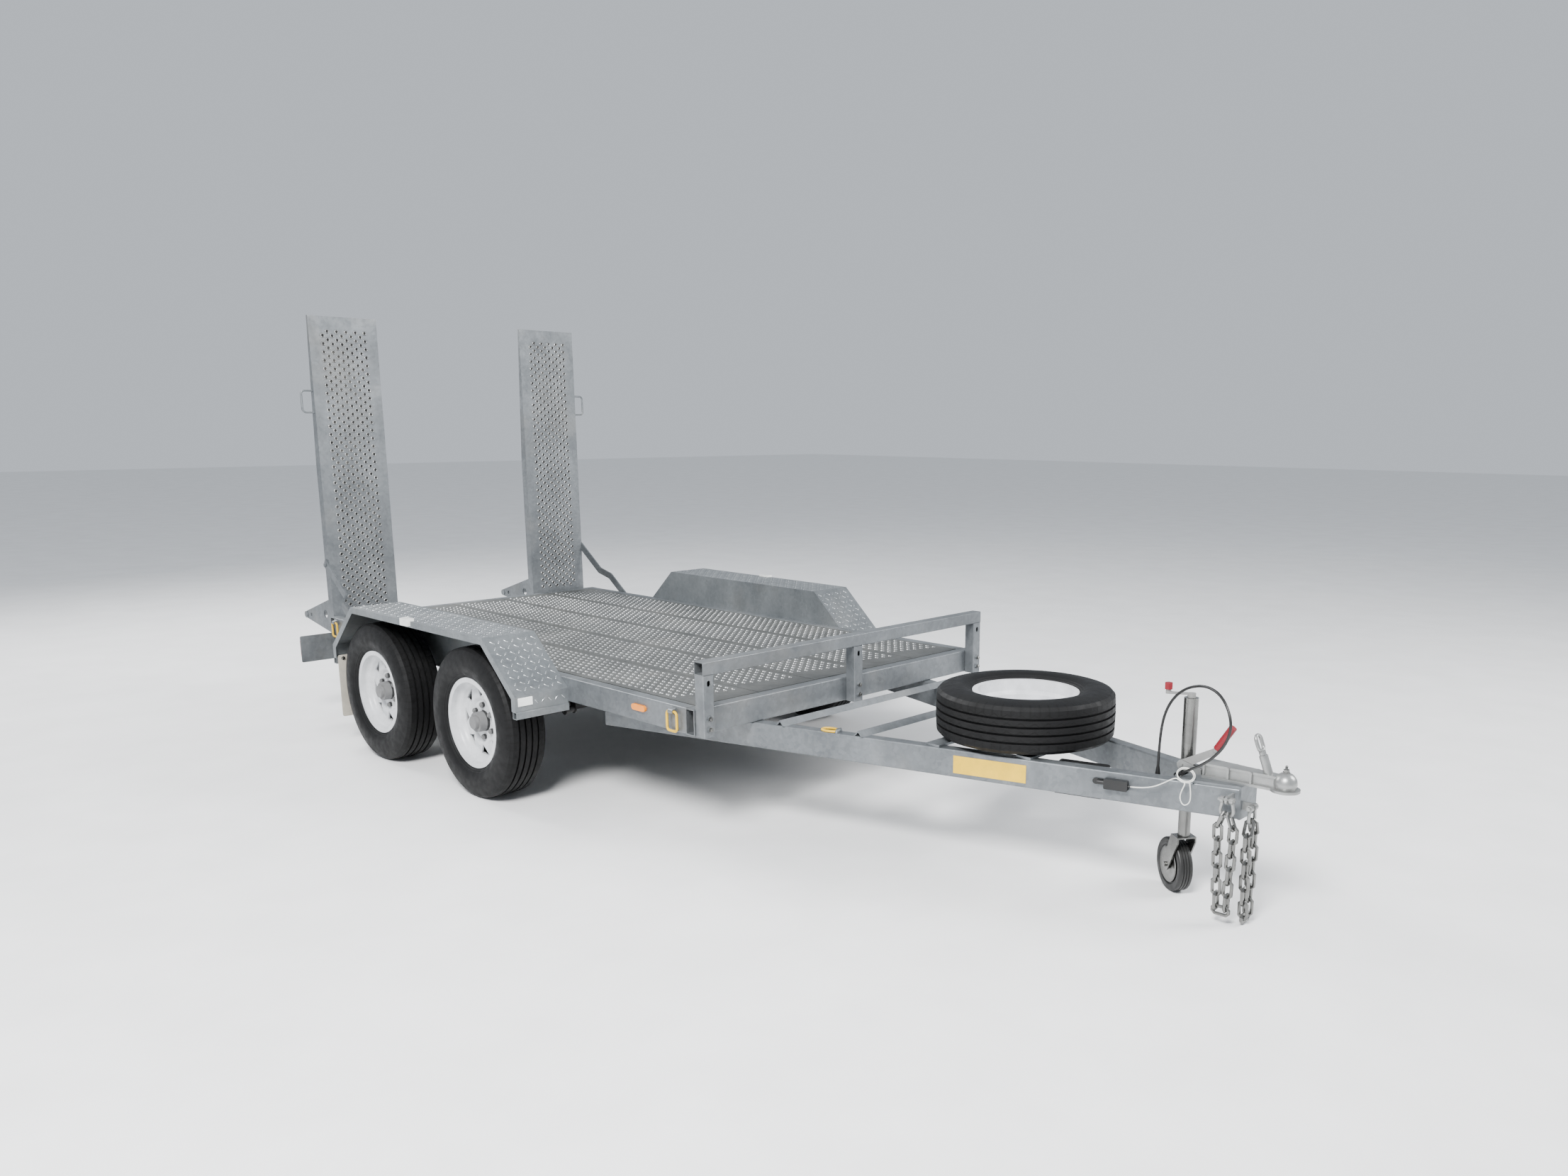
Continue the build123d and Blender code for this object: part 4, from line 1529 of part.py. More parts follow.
# Breakaway cable: from the switch's pin to a small coil round the lead, with a loop that hangs below it
CABLE_RADIUS = 2
COIL_CENTRE = Vector(FRONT_X + 1590, -108, DECK_HEIGHT - 75)
COIL_NORMAL = Vector(0.40, -0.45, 0.80).normalized()
COIL_RADIUS = 28
COIL_THICKNESS = 4.5
with BuildPart() as lanyard_coil:
    coil_plane = Plane(origin=COIL_CENTRE, z_dir=COIL_NORMAL)
    with BuildSketch(Plane(origin=COIL_CENTRE, x_dir=coil_plane.x_dir, z_dir=coil_plane.y_dir)):
        with Locations((COIL_RADIUS, 0)):
            Circle(COIL_THICKNESS)
    revolve(axis=Axis(COIL_CENTRE, COIL_NORMAL))
lanyard_coil.part.label = "lanyard_coil"
export_step(lanyard_coil.part, "parts/lanyard_coil.step")

SWITCH_PIN_END = SWITCH_PLACE.from_local_coords(Vector(SWITCH_LENGTH / 2 + 8.3, 0, SWITCH_DEPTH / 2))
COIL_PLANE = Plane(origin=COIL_CENTRE, x_dir=COIL_NORMAL.cross(Vector(0, 0, 1)), z_dir=COIL_NORMAL)


def coil_rim(turn, reach):
    """Point in the coil's plane at an angle of turn degrees, reach beyond its outside."""
    distance = COIL_RADIUS + COIL_THICKNESS + reach
    return COIL_PLANE.from_local_coords(Vector(distance * cos(radians(turn)), distance * sin(radians(turn)), 0))


RUN_END = coil_rim(15, 1.3)
LOOP_START = coil_rim(80, 1.0)
LOOP_END = coil_rim(104, 1.0)
RUN_POINTS = [
    SWITCH_PIN_END,
    SWITCH_PIN_END + Vector(32, 6, 2),
    SWITCH_PIN_END + Vector(78, 10, 14),
    RUN_END - Vector(28, 10, 19),
    RUN_END,
]
LOOP_POINTS = [
    LOOP_START,
    LOOP_START + Vector(-8, -8, -24),
    LOOP_START + Vector(-14, -8, -50),
    LOOP_START + Vector(0, -6, -74),
    LOOP_START + Vector(18, 4, -62),
    LOOP_END + Vector(8, -5, -26),
    LOOP_END,
]
with BuildPart() as breakaway_lanyard:
    add(make_cord(RUN_POINTS, CABLE_RADIUS))
    add(make_cord(LOOP_POINTS, CABLE_RADIUS))
breakaway_lanyard.part.label = "breakaway_lanyard"
export_step(breakaway_lanyard.part, "parts/breakaway_lanyard.step")
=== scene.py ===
"""Studio scene for the tandem-axle plant trailer."""
import json
from math import cos, pi, radians, sin

import bmesh
import bpy
from mathutils import Matrix, Vector


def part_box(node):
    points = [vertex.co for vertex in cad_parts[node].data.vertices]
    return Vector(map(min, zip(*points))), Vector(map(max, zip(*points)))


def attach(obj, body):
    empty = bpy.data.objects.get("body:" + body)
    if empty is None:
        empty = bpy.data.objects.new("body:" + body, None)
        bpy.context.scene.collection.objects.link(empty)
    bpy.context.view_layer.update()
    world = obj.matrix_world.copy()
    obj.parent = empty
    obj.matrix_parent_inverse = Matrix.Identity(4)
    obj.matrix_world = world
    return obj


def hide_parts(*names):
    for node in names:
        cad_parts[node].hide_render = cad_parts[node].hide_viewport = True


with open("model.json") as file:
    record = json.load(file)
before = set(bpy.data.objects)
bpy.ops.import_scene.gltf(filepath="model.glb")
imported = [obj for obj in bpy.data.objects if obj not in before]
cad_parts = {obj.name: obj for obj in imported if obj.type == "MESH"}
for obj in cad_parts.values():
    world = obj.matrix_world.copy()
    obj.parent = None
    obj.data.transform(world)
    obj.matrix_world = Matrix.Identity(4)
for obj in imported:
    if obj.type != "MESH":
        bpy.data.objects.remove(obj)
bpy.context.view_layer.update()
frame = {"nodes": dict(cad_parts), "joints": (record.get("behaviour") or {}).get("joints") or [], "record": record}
nodes = frame["nodes"]


# Camera at the photograph's viewpoint
IMAGE_WIDTH = 2212
IMAGE_HEIGHT = 1659
CAMERA_PLACE = Vector((4.073, -3.449, 1.570))
CAMERA_YAW = 0.73374
CAMERA_PITCH = 0.20106
CAMERA_ROLL = 0.00454
FOCAL_PIXELS = 1663
PRINCIPAL_POINT = (1248, 936)
SENSOR_WIDTH = 36
SIGHT_LIMIT = 100


def add_camera():
    turn = (Matrix.Rotation(CAMERA_YAW, 4, "Z") @ Matrix.Rotation(pi / 2 - CAMERA_PITCH, 4, "X")
            @ Matrix.Rotation(CAMERA_ROLL, 4, "Z"))
    camera = bpy.data.objects.new("camera", bpy.data.cameras.new("camera"))
    bpy.context.collection.objects.link(camera)
    camera.matrix_world = Matrix.Translation(CAMERA_PLACE) @ turn
    camera.data.sensor_width = SENSOR_WIDTH
    camera.data.lens = FOCAL_PIXELS / IMAGE_WIDTH * SENSOR_WIDTH
    camera.data.shift_x = (IMAGE_WIDTH / 2 - PRINCIPAL_POINT[0]) / IMAGE_WIDTH
    camera.data.shift_y = (PRINCIPAL_POINT[1] - IMAGE_HEIGHT / 2) / IMAGE_WIDTH
    camera.data.clip_end = SIGHT_LIMIT
    bpy.context.scene.camera = camera


# Materials
class Shader:
    """A small helper that adds and joins shader nodes."""

    def __init__(self, name, **sockets):
        self.material = bpy.data.materials.new(name)
        self.material.use_nodes = True
        self.tree = self.material.node_tree
        self.surface = self.tree.nodes["Principled BSDF"]
        self.place = self.tree.nodes.new("ShaderNodeTexCoord").outputs["Object"]
        for socket, value in sockets.items():
            self.surface.inputs[socket.replace("_", " ")].default_value = value

    def join(self, source, target):
        self.tree.links.new(source, target)

    def noise(self, scale, detail=4, roughness=0.55, stretch=None):
        node = self.tree.nodes.new("ShaderNodeTexNoise")
        node.inputs["Scale"].default_value = scale
        node.inputs["Detail"].default_value = detail
        node.inputs["Roughness"].default_value = roughness
        self.join(self.mapped(stretch), node.inputs["Vector"])
        return node.outputs["Fac"]

    def cells(self, scale):
        node = self.tree.nodes.new("ShaderNodeTexVoronoi")
        node.inputs["Scale"].default_value = scale
        self.join(self.place, node.inputs["Vector"])
        return node.outputs["Color"]

    def mapped(self, stretch):
        if stretch is None:
            return self.place
        node = self.tree.nodes.new("ShaderNodeMapping")
        node.inputs["Scale"].default_value = stretch
        self.join(self.place, node.inputs["Vector"])
        return node.outputs["Vector"]

    def ramp(self, source, *stops):
        """Colour ramp: each stop is a position and a grey value or a colour."""
        node = self.tree.nodes.new("ShaderNodeValToRGB")
        elements = node.color_ramp.elements
        while len(elements) < len(stops):
            elements.new(1)
        for element, (position, value) in zip(elements, stops):
            element.position = position
            element.color = (*value, 1) if isinstance(value, tuple) else (value, value, value, 1)
        self.join(source, node.inputs["Fac"])
        return node.outputs["Color"]

    def mix(self, factor, first, second, blend="MIX"):
        node = self.tree.nodes.new("ShaderNodeMix")
        node.data_type = "RGBA"
        node.blend_type = blend
        for socket, value in (("Factor", factor), ("A", first), ("B", second)):
            target = [i for i in node.inputs if i.name == socket and i.enabled][0]
            if isinstance(value, bpy.types.NodeSocket):
                self.join(value, target)
            elif isinstance(value, tuple):
                target.default_value = (*value, 1)
            else:
                target.default_value = value
        return [o for o in node.outputs if o.enabled][0]

    def maths(self, operation, first, second=0.5):
        node = self.tree.nodes.new("ShaderNodeMath")
        node.operation = operation
        for target, value in zip(node.inputs, (first, second)):
            if isinstance(value, bpy.types.NodeSocket):
                self.join(value, target)
            else:
                target.default_value = value
        return node.outputs[0]

    def beyond(self, point, direction):
        """1 on the side of a plane through point that direction looks to, 0 on the other."""
        direction = Vector(direction)
        node = self.tree.nodes.new("ShaderNodeVectorMath")
        node.operation = "DOT_PRODUCT"
        self.join(self.place, node.inputs[0])
        node.inputs[1].default_value = direction
        return self.maths("GREATER_THAN", node.outputs["Value"], direction.dot(Vector(point)))

    def bump(self, source, strength, distance):
        node = self.tree.nodes.new("ShaderNodeBump")
        node.inputs["Strength"].default_value = strength
        node.inputs["Distance"].default_value = distance
        self.join(source, node.inputs["Height"])
        self.join(node.outputs["Normal"], self.surface.inputs["Normal"])

    def colour(self, source):
        self.join(source, self.surface.inputs["Base Color"])

    def gloss(self, source):
        self.join(source, self.surface.inputs["Roughness"])


DULL_DIRT = (0.28, 0.27, 0.25)
PALE_DUST = (0.42, 0.40, 0.36)
BLACK_DUST = (0.05, 0.05, 0.05)


def galvanised(name, dark, light, rough=(0.42, 0.62), metal=0.75, spangle=70):
    """Hot-dip zinc: faint crystal spangle, cloudy patches and runs, and dull dirt."""
    shader = Shader(name, Metallic=metal)
    crystals = shader.ramp(shader.cells(spangle), (0.0, dark), (1.0, light))
    clouds = shader.ramp(shader.noise(5, 6), (0.3, dark), (0.7, light))
    base = shader.mix(0.62, crystals, clouds)
    runs = shader.ramp(shader.noise(9, 5, 0.6, (1, 1, 0.16)), (0.4, 0.86), (0.62, 1.0))
    base = shader.mix(0.8, base, runs, "MULTIPLY")
    dirt = shader.ramp(shader.noise(2.3, 7, 0.65), (0.52, 0.0), (0.8, 0.55))
    shader.colour(shader.mix(dirt, base, DULL_DIRT))
    shader.gloss(shader.ramp(shader.noise(14, 5), (0.3, rough[0]), (0.7, rough[1])))
    shader.bump(shader.noise(55, 6, 0.6), 0.22, 0.0012)
    return shader.material


def painted(name, tone, rough=0.4, dust=PALE_DUST, dust_amount=0.3, metal=0.0):
    """Paint or plastic with a fine texture and settled dust."""
    shader = Shader(name, Metallic=metal)
    shade = tuple(0.82 * c for c in tone)
    base = shader.mix(shader.ramp(shader.noise(18, 5), (0.35, 0.0), (0.65, 1.0)), tone, shade)
    settled = shader.ramp(shader.noise(7, 6, 0.65), (0.45, 0.0), (0.85, dust_amount))
    shader.colour(shader.mix(settled, base, dust))
    shader.gloss(shader.ramp(shader.noise(30, 4), (0.3, rough * 0.85), (0.7, min(rough * 1.25, 1.0))))
    shader.bump(shader.noise(160, 4), 0.12, 0.0006)
    return shader.material


def two_tone(name, near, far, point, direction, rough=0.4, metal=0.0):
    """One piece in two colours, parted by the plane through point."""
    shader = Shader(name, Metallic=metal)
    base = shader.mix(shader.beyond(point, direction), near, far)
    grime = shader.ramp(shader.noise(16, 6), (0.35, 0.8), (0.65, 1.0))
    shader.colour(shader.mix(0.8, base, grime, "MULTIPLY"))
    shader.gloss(shader.ramp(shader.noise(40, 4), (0.3, rough * 0.8), (0.7, rough * 1.3)))
    shader.bump(shader.noise(180, 4), 0.12, 0.0005)
    return shader.material


ZIGZAGS = 44
SHOULDER_SLOTS = 62
RIB_PITCH = 0.029
TREAD_HALF_WIDTH = 0.066
TREAD_FROM_RADIUS = 0.296
SHOULDER_FROM = 0.05
ZIGZAG_SWING = 0.030
GROOVE_HALF_WIDTH = 0.0026
SLOT_SHARE = 0.2
SIDEWALL_TO_RADIUS = 0.215
SIDEWALL_RIB = 0.004
SIDEWALL_RELIEF = 60
CLEAN_RUBBER = (0.0025, 0.0025, 0.0028)
DUSTY_RUBBER = (0.010, 0.0098, 0.009)
GROOVE_PAINTED_SHADE = (0.001, 0.001, 0.001)


def tread_rubber(name, centre, axle):
    """Tyre rubber whose tread has zigzag grooves and slotted shoulders round an axle through centre."""
    shader = Shader(name, Specular_IOR_Level=0.22)
    offset = shader.tree.nodes.new("ShaderNodeVectorMath")
    offset.operation = "SUBTRACT"
    shader.join(shader.place, offset.inputs[0])
    offset.inputs[1].default_value = centre
    axes = shader.tree.nodes.new("ShaderNodeSeparateXYZ")
    shader.join(offset.outputs["Vector"], axes.inputs[0])
    across = axes.outputs[axle]
    up = axes.outputs["Z" if axle == "Y" else "Y"]
    along = axes.outputs["X"]
    angle = shader.maths("ARCTAN2", up, along)
    radius = shader.maths("SQRT", shader.maths("ADD", shader.maths("MULTIPLY", up, up),
                                               shader.maths("MULTIPLY", along, along)))
    wave = shader.maths("PINGPONG", shader.maths("MULTIPLY", angle, ZIGZAGS / (2 * pi)), 0.5)
    shifted = shader.maths("ADD", across, shader.maths("MULTIPLY", wave, ZIGZAG_SWING))
    rib = shader.maths("PINGPONG", shifted, RIB_PITCH / 2)
    side = shader.maths("ABSOLUTE", across, 0)
    crown = shader.maths("LESS_THAN", side, TREAD_HALF_WIDTH)
    outside = shader.maths("GREATER_THAN", radius, TREAD_FROM_RADIUS)
    zigzag = shader.maths("MULTIPLY", shader.maths("LESS_THAN", rib, GROOVE_HALF_WIDTH), crown)
    turn = shader.maths("FRACT", shader.maths("MULTIPLY", angle, SHOULDER_SLOTS / (2 * pi)), 0)
    slot = shader.maths("LESS_THAN", turn, SLOT_SHARE)
    slot = shader.maths("MULTIPLY", slot, shader.maths("GREATER_THAN", side, SHOULDER_FROM))
    grooves = shader.maths("MULTIPLY", shader.maths("MAXIMUM", zigzag, slot), outside)
    ribs = shader.maths("PINGPONG", radius, SIDEWALL_RIB)
    ribs = shader.maths("MULTIPLY", ribs, shader.maths("LESS_THAN", radius, SIDEWALL_TO_RADIUS))
    dust = shader.ramp(shader.noise(9, 6), (0.45, 0.0), (0.85, 0.35))
    rubber = shader.mix(dust, CLEAN_RUBBER, DUSTY_RUBBER)
    # Grooves and shoulder slots are coloured near black: painted shade in the recesses
    shader.colour(shader.mix(grooves, rubber, GROOVE_PAINTED_SHADE))
    shader.gloss(shader.ramp(shader.noise(30, 4), (0.3, 0.5), (0.7, 0.7)))
    relief = shader.maths("SUBTRACT", shader.maths("MULTIPLY", ribs, SIDEWALL_RELIEF), grooves)
    grain = shader.maths("MULTIPLY", shader.noise(300, 3), 0.12)
    shader.bump(shader.maths("ADD", relief, grain), 1.0, 0.004)
    return shader.material


zinc_frame = galvanised("zinc_frame", (0.125, 0.136, 0.145), (0.25, 0.266, 0.278))
zinc_deck = galvanised("zinc_deck", (0.095, 0.098, 0.094), (0.172, 0.175, 0.168), (0.42, 0.6))
zinc_tread = galvanised("zinc_tread", (0.17, 0.185, 0.195), (0.29, 0.31, 0.32), (0.38, 0.55))
bright_plate = galvanised("bright_plate", (0.13, 0.13, 0.125), (0.26, 0.26, 0.25), (0.2, 0.34), 0.95, 20)
cast_silver = painted("cast_silver", (0.33, 0.335, 0.33), 0.34, metal=0.7, dust_amount=0.15)
# Bumps and collars are lighter than the sheet they are pressed from: a painted highlight on their raised faces
bump_zinc_painted_highlight = galvanised("bump_zinc_painted_highlight", (0.27, 0.275, 0.275), (0.48, 0.485, 0.485), (0.26, 0.4), 0.9, 40)
# Tread bars are lighter than the guard plate: a painted highlight on their raised faces
bar_zinc_painted_highlight = galvanised("bar_zinc_painted_highlight", (0.36, 0.38, 0.39), (0.6, 0.62, 0.63), (0.24, 0.38), 0.9, 40)
white_rim = painted("white_rim", (0.66, 0.67, 0.69), 0.3, dust_amount=0.12)
black_paint = painted("black_paint", (0.006, 0.006, 0.006), 0.45, (0.06, 0.055, 0.05), 0.3)
black_plastic = painted("black_plastic", (0.005, 0.005, 0.005), 0.4, BLACK_DUST, 0.15)
hole_painted_shade = painted("hole_painted_shade", (0.015, 0.015, 0.015), 0.8)
wheel_rubber = painted("wheel_rubber", (0.006, 0.006, 0.006), 0.5, (0.06, 0.06, 0.055), 0.25)
yellow_zinc = painted("yellow_zinc", (0.70, 0.42, 0.005), 0.4, dust_amount=0.1)
sign_yellow = painted("sign_yellow", (0.78, 0.48, 0.005), 0.35, dust_amount=0.06)
clear_cable = painted("clear_cable", (0.72, 0.72, 0.68), 0.25)
beige_rubber = painted("beige_rubber", (0.42, 0.39, 0.33), 0.75)
clear_lens = painted("clear_lens", (0.8, 0.81, 0.78), 0.15, dust_amount=0.15)

# A node takes the finish of its material slot, or its own where it has one
FINISHES = {
    "galvanised_steel": zinc_frame,
    "white_rim": white_rim,
    "black_paint": black_paint,
    "wheel_rubber": wheel_rubber,
    "zinc_plate": cast_silver,
    "yellow_zinc": yellow_zinc,
    "black_plastic": black_plastic,
    "clear_cable": clear_cable,
    "beige_rubber": beige_rubber,
    "clear_lens": clear_lens,
}
HANDLE_METAL = (0.22, 0.22, 0.215)
HANDLE_RED = (0.20, 0.0, 0.008)
LAMP_RED = (0.45, 0.01, 0.01)
LAMP_AMBER = (0.75, 0.22, 0.0)
KNOB_BOTTOM = 0.7140
GRIP_START = Vector((2.418, 0, 0.545))
GRIP_DIRECTION = Vector((0.532, 0, 0.847))
OWN_FINISHES = {
    "deck_planks": zinc_deck,
    "guard_left": zinc_tread,
    "guard_right": zinc_tread,
    "jockey_leg": bright_plate,
    "jockey_yoke": bright_plate,
    "jockey_tube": bright_plate,
    "safety_chains": bright_plate,
    "jockey_crank": two_tone("crank", HANDLE_METAL, HANDLE_RED, (0, 0, KNOB_BOTTOM), (0, 0, 1)),
    "brake_lever": two_tone("lever", HANDLE_METAL, HANDLE_RED, GRIP_START, GRIP_DIRECTION),
    "signal_lamps": two_tone("lamps", LAMP_RED, LAMP_AMBER, (0, 0, 0), (1, 0, 0), 0.2),
}

# Rims are painted dark behind the disc, a painted shade for the shadowed inside of the barrel, and hubs have a
# grey cap
DISC_BACK_Y = 0.9675
PAINTED_SHADE_INSIDE = (0.012, 0.012, 0.012)
RIM_WHITE = (0.62, 0.63, 0.645)
HUB_CAP_Y = 0.99
HUB_BLACK = (0.02, 0.02, 0.02)
CAP_GREY = (0.16, 0.16, 0.16)


def side_sign(name):
    """1 for a node or body on the left, -1 on the right."""
    return 1 if name.endswith("left") else -1


def finish_wheels():
    """Own finishes for tyres, rims and hubs, set from where each wheel is."""
    for name in nodes:
        sign = side_sign(name)
        if name.startswith("tyre_") or name == "spare_tyre":
            low, high = (Vector(corner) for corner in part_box(name))
            OWN_FINISHES[name] = tread_rubber(name, (low + high) / 2, "Z" if name == "spare_tyre" else "Y")
        elif name.startswith("rim_"):
            disc_back = (0, sign * DISC_BACK_Y, 0)
            # The rim's inner side takes painted shade, standing in for the shadow inside the barrel
            OWN_FINISHES[name] = two_tone(name, PAINTED_SHADE_INSIDE, RIM_WHITE, disc_back, (0, sign, 0), 0.3)
        elif name.startswith("hub_"):
            cap_back = (0, sign * HUB_CAP_Y, 0)
            OWN_FINISHES[name] = two_tone(name, HUB_BLACK, CAP_GREY, cap_back, (0, sign, 0), 0.5)


def finish_nodes():
    finish_wheels()
    slots = {part["node"]: part["material_slot"] for part in frame["record"]["subparts"]}
    for name, node in nodes.items():
        node.data.materials.clear()
        node.data.materials.append(OWN_FINISHES[name] if name in OWN_FINISHES else FINISHES[slots[name]])


# Studio: each lamp's name, place, size in metres and power in watts
LAMPS = (
    ("key", (3.5, -5.0, 5.5), 2.2, 1300),
    ("fill", (6.0, 4.0, 4.5), 3.0, 520),
    ("back", (-6.0, -1.0, 5.0), 3.0, 520),
)
LAMP_AIM = Vector((0, 0, 0.5))
FLOOR_HALF = 40
SKY_TINT = (0.86, 0.92, 1.0, 1)
SKY_STRENGTH = 0.7


def add_studio():
    """Pale floor, soft sky light and three broad lamps."""
    floor_mesh = bpy.data.meshes.new("floor")
    corners = [(x * FLOOR_HALF, y * FLOOR_HALF, 0) for x, y in ((-1, -1), (1, -1), (1, 1), (-1, 1))]
    floor_mesh.from_pydata(corners, [], [(0, 1, 2, 3)])
    floor = bpy.data.objects.new("floor", floor_mesh)
    bpy.context.collection.objects.link(floor)
    shader = Shader("pale_floor", Roughness=0.9)
    shader.colour(shader.ramp(shader.noise(3, 6), (0.3, 0.80), (0.7, 0.86)))
    floor_mesh.materials.append(shader.material)
    world = bpy.data.worlds.new("soft_sky")
    world.use_nodes = True
    background = world.node_tree.nodes["Background"]
    background.inputs["Color"].default_value = SKY_TINT
    background.inputs["Strength"].default_value = SKY_STRENGTH
    bpy.context.scene.world = world
    for name, place, size, power in LAMPS:
        lamp = bpy.data.lights.new(name, "AREA")
        lamp.size = size
        lamp.energy = power
        light = bpy.data.objects.new(name, lamp)
        bpy.context.collection.objects.link(light)
        aim = (LAMP_AIM - Vector(place)).to_track_quat("-Z", "Y").to_matrix().to_4x4()
        light.matrix_world = Matrix.Translation(place) @ aim


# Repeats: one stamp copied to many places by Geometry Nodes
COPY_INPUTS = (("Points", "Geometry"), ("Stamp", "Object"), ("Size", "Float"), ("Unevenness", "Float"),
               ("Seed", "Int"), ("Finish", "Material"))


def repeat_group():
    """Stamps at points, each turned by its point's attribute and a little uneven in size."""
    group = bpy.data.node_groups.new("copies_at_points", "GeometryNodeTree")
    for name, kind in COPY_INPUTS:
        group.interface.new_socket(name, in_out="INPUT", socket_type=f"NodeSocket{kind}")
    group.interface.new_socket("Copies", in_out="OUTPUT", socket_type="NodeSocketGeometry")
    steps = group.nodes
    given = steps.new("NodeGroupInput").outputs
    turn = steps.new("GeometryNodeInputNamedAttribute")
    turn.data_type = "FLOAT_VECTOR"
    turn.inputs["Name"].default_value = "turn"
    rotation = steps.new("FunctionNodeEulerToRotation")
    stamp = steps.new("GeometryNodeObjectInfo")
    smallest = steps.new("ShaderNodeMath")
    smallest.operation = "SUBTRACT"
    spread = steps.new("FunctionNodeRandomValue")
    copies = steps.new("GeometryNodeInstanceOnPoints")
    realized = steps.new("GeometryNodeRealizeInstances")
    finish = steps.new("GeometryNodeSetMaterial")
    result = steps.new("NodeGroupOutput")
    # The random node's inputs 2 and 3 and its output 1 are those of its plain number
    for source, target in (
        (given["Points"], copies.inputs["Points"]),
        (given["Stamp"], stamp.inputs["Object"]),
        (stamp.outputs["Geometry"], copies.inputs["Instance"]),
        (turn.outputs["Attribute"], rotation.inputs["Euler"]),
        (rotation.outputs["Rotation"], copies.inputs["Rotation"]),
        (given["Size"], smallest.inputs[0]),
        (given["Unevenness"], smallest.inputs[1]),
        (smallest.outputs["Value"], spread.inputs[2]),
        (given["Size"], spread.inputs[3]),
        (given["Seed"], spread.inputs["Seed"]),
        (spread.outputs[1], copies.inputs["Scale"]),
        (copies.outputs["Instances"], realized.inputs["Geometry"]),
        (realized.outputs["Geometry"], finish.inputs["Geometry"]),
        (given["Finish"], finish.inputs["Material"]),
        (finish.outputs["Geometry"], result.inputs["Copies"]),
    ):
        group.links.new(source, target)
    return group


COPIES = repeat_group()


def plain_piece(name, source, body):
    """Keep what a modifier makes as one plain mesh that rides on a body."""
    evaluated = source.evaluated_get(bpy.context.evaluated_depsgraph_get())
    mesh = bpy.data.meshes.new_from_object(evaluated)
    mesh.name = name
    bpy.data.objects.remove(source)
    piece = bpy.data.objects.new(name, mesh)
    bpy.context.collection.objects.link(piece)
    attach(piece, body)
    return piece


def repeat(name, places, stamp, finish, body, unevenness=0.0, seed=1):
    """Copy stamp, a mesh, to each place: a matrix whose Z looks away from the surface."""
    points = bpy.data.meshes.new(name + "_points")
    points.from_pydata([place.to_translation() for place in places], [], [])
    turns = points.attributes.new("turn", "FLOAT_VECTOR", "POINT")
    turns.data.foreach_set("vector", [angle for place in places for angle in place.to_euler()])
    carrier = bpy.data.objects.new(name + "_points", points)
    stamp_object = bpy.data.objects.new(name + "_stamp", stamp)
    bpy.context.collection.objects.link(carrier)
    modifier = carrier.modifiers.new("copies", "NODES")
    modifier.node_group = COPIES
    sockets = {item.name: item.identifier for item in COPIES.interface.items_tree if item.in_out == "INPUT"}
    for socket, value in (("Stamp", stamp_object), ("Size", 1.0), ("Unevenness", unevenness), ("Seed", seed),
                          ("Finish", finish)):
        modifier[sockets[socket]] = value
    piece = plain_piece(name, carrier, body)
    bpy.data.objects.remove(stamp_object)
    return piece


def ring_stamp(name, rings, sides, closed_top=True, square=False):
    """Stamp from rings of (half length, half width, height), joined upwards."""
    mesh = bmesh.new()
    turns = [2 * pi * k / sides for k in range(sides)]
    loops = []
    for half_length, half_width, height in rings:
        ring = [(half_length * cos(turn), half_width * sin(turn), height) for turn in turns]
        loops.append([mesh.verts.new(place) for place in ring])
    for lower, upper in zip(loops, loops[1:]):
        for k in range(sides):
            mesh.faces.new((lower[k], lower[(k + 1) % sides], upper[(k + 1) % sides], upper[k]))
    if closed_top:
        mesh.faces.new(loops[-1])
    for face in mesh.faces:
        face.smooth = not square
    data = bpy.data.meshes.new(name)
    mesh.to_mesh(data)
    mesh.free()
    return data


def on_surface(origin, along, normal):
    """Matrix at origin with X along and Z on the normal."""
    normal = Vector(normal).normalized()
    along = Vector(along)
    along = (along - normal * along.dot(normal)).normalized()
    matrix = Matrix((along, normal.cross(along), normal)).transposed().to_4x4()
    return Matrix.Translation(Vector(origin)) @ matrix


# Pressed bumps of the deck: slanted columns on each plank, with plain margins at its seams, coloured lighter than
# the deck as a painted highlight on their raised tops
DECK_TOP = 0.545
PLANK_COUNT = 5
BUMPS_PER_COLUMN = 8
COLUMN_PITCH = 0.040
COLUMN_SLANT = 0.30
PLANK_MARGIN = 0.036
DECK_END_MARGIN = 0.05
BUMP_SINK = 0.0002
BUMP_ALONG = (1, 0.2, 0)
BUMP_RINGS = ((0.0120, 0.0072, 0), (0.0095, 0.0052, 0.0034), (0.004, 0.002, 0.0046))


def add_deck_bumps():
    low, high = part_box("deck_planks")
    plank_width = (high[1] - low[1]) / PLANK_COUNT
    column_width = plank_width - 2 * PLANK_MARGIN
    step = column_width / (BUMPS_PER_COLUMN - 1)
    run = high[0] - low[0] - 2 * DECK_END_MARGIN - COLUMN_SLANT * column_width
    top = DECK_TOP - BUMP_SINK
    places = []
    for plank in range(PLANK_COUNT):
        first_y = low[1] + plank * plank_width + PLANK_MARGIN
        for column in range(int(run / COLUMN_PITCH)):
            first_x = low[0] + DECK_END_MARGIN + column * COLUMN_PITCH
            for bump in range(BUMPS_PER_COLUMN):
                spot = (first_x + COLUMN_SLANT * bump * step, first_y + bump * step, top)
                places.append(on_surface(spot, BUMP_ALONG, (0, 0, 1)))
    stamp = ring_stamp("bump", BUMP_RINGS, 8)
    repeat("deck_bumps", places, stamp, bump_zinc_painted_highlight, "chassis", unevenness=0.12, seed=4)


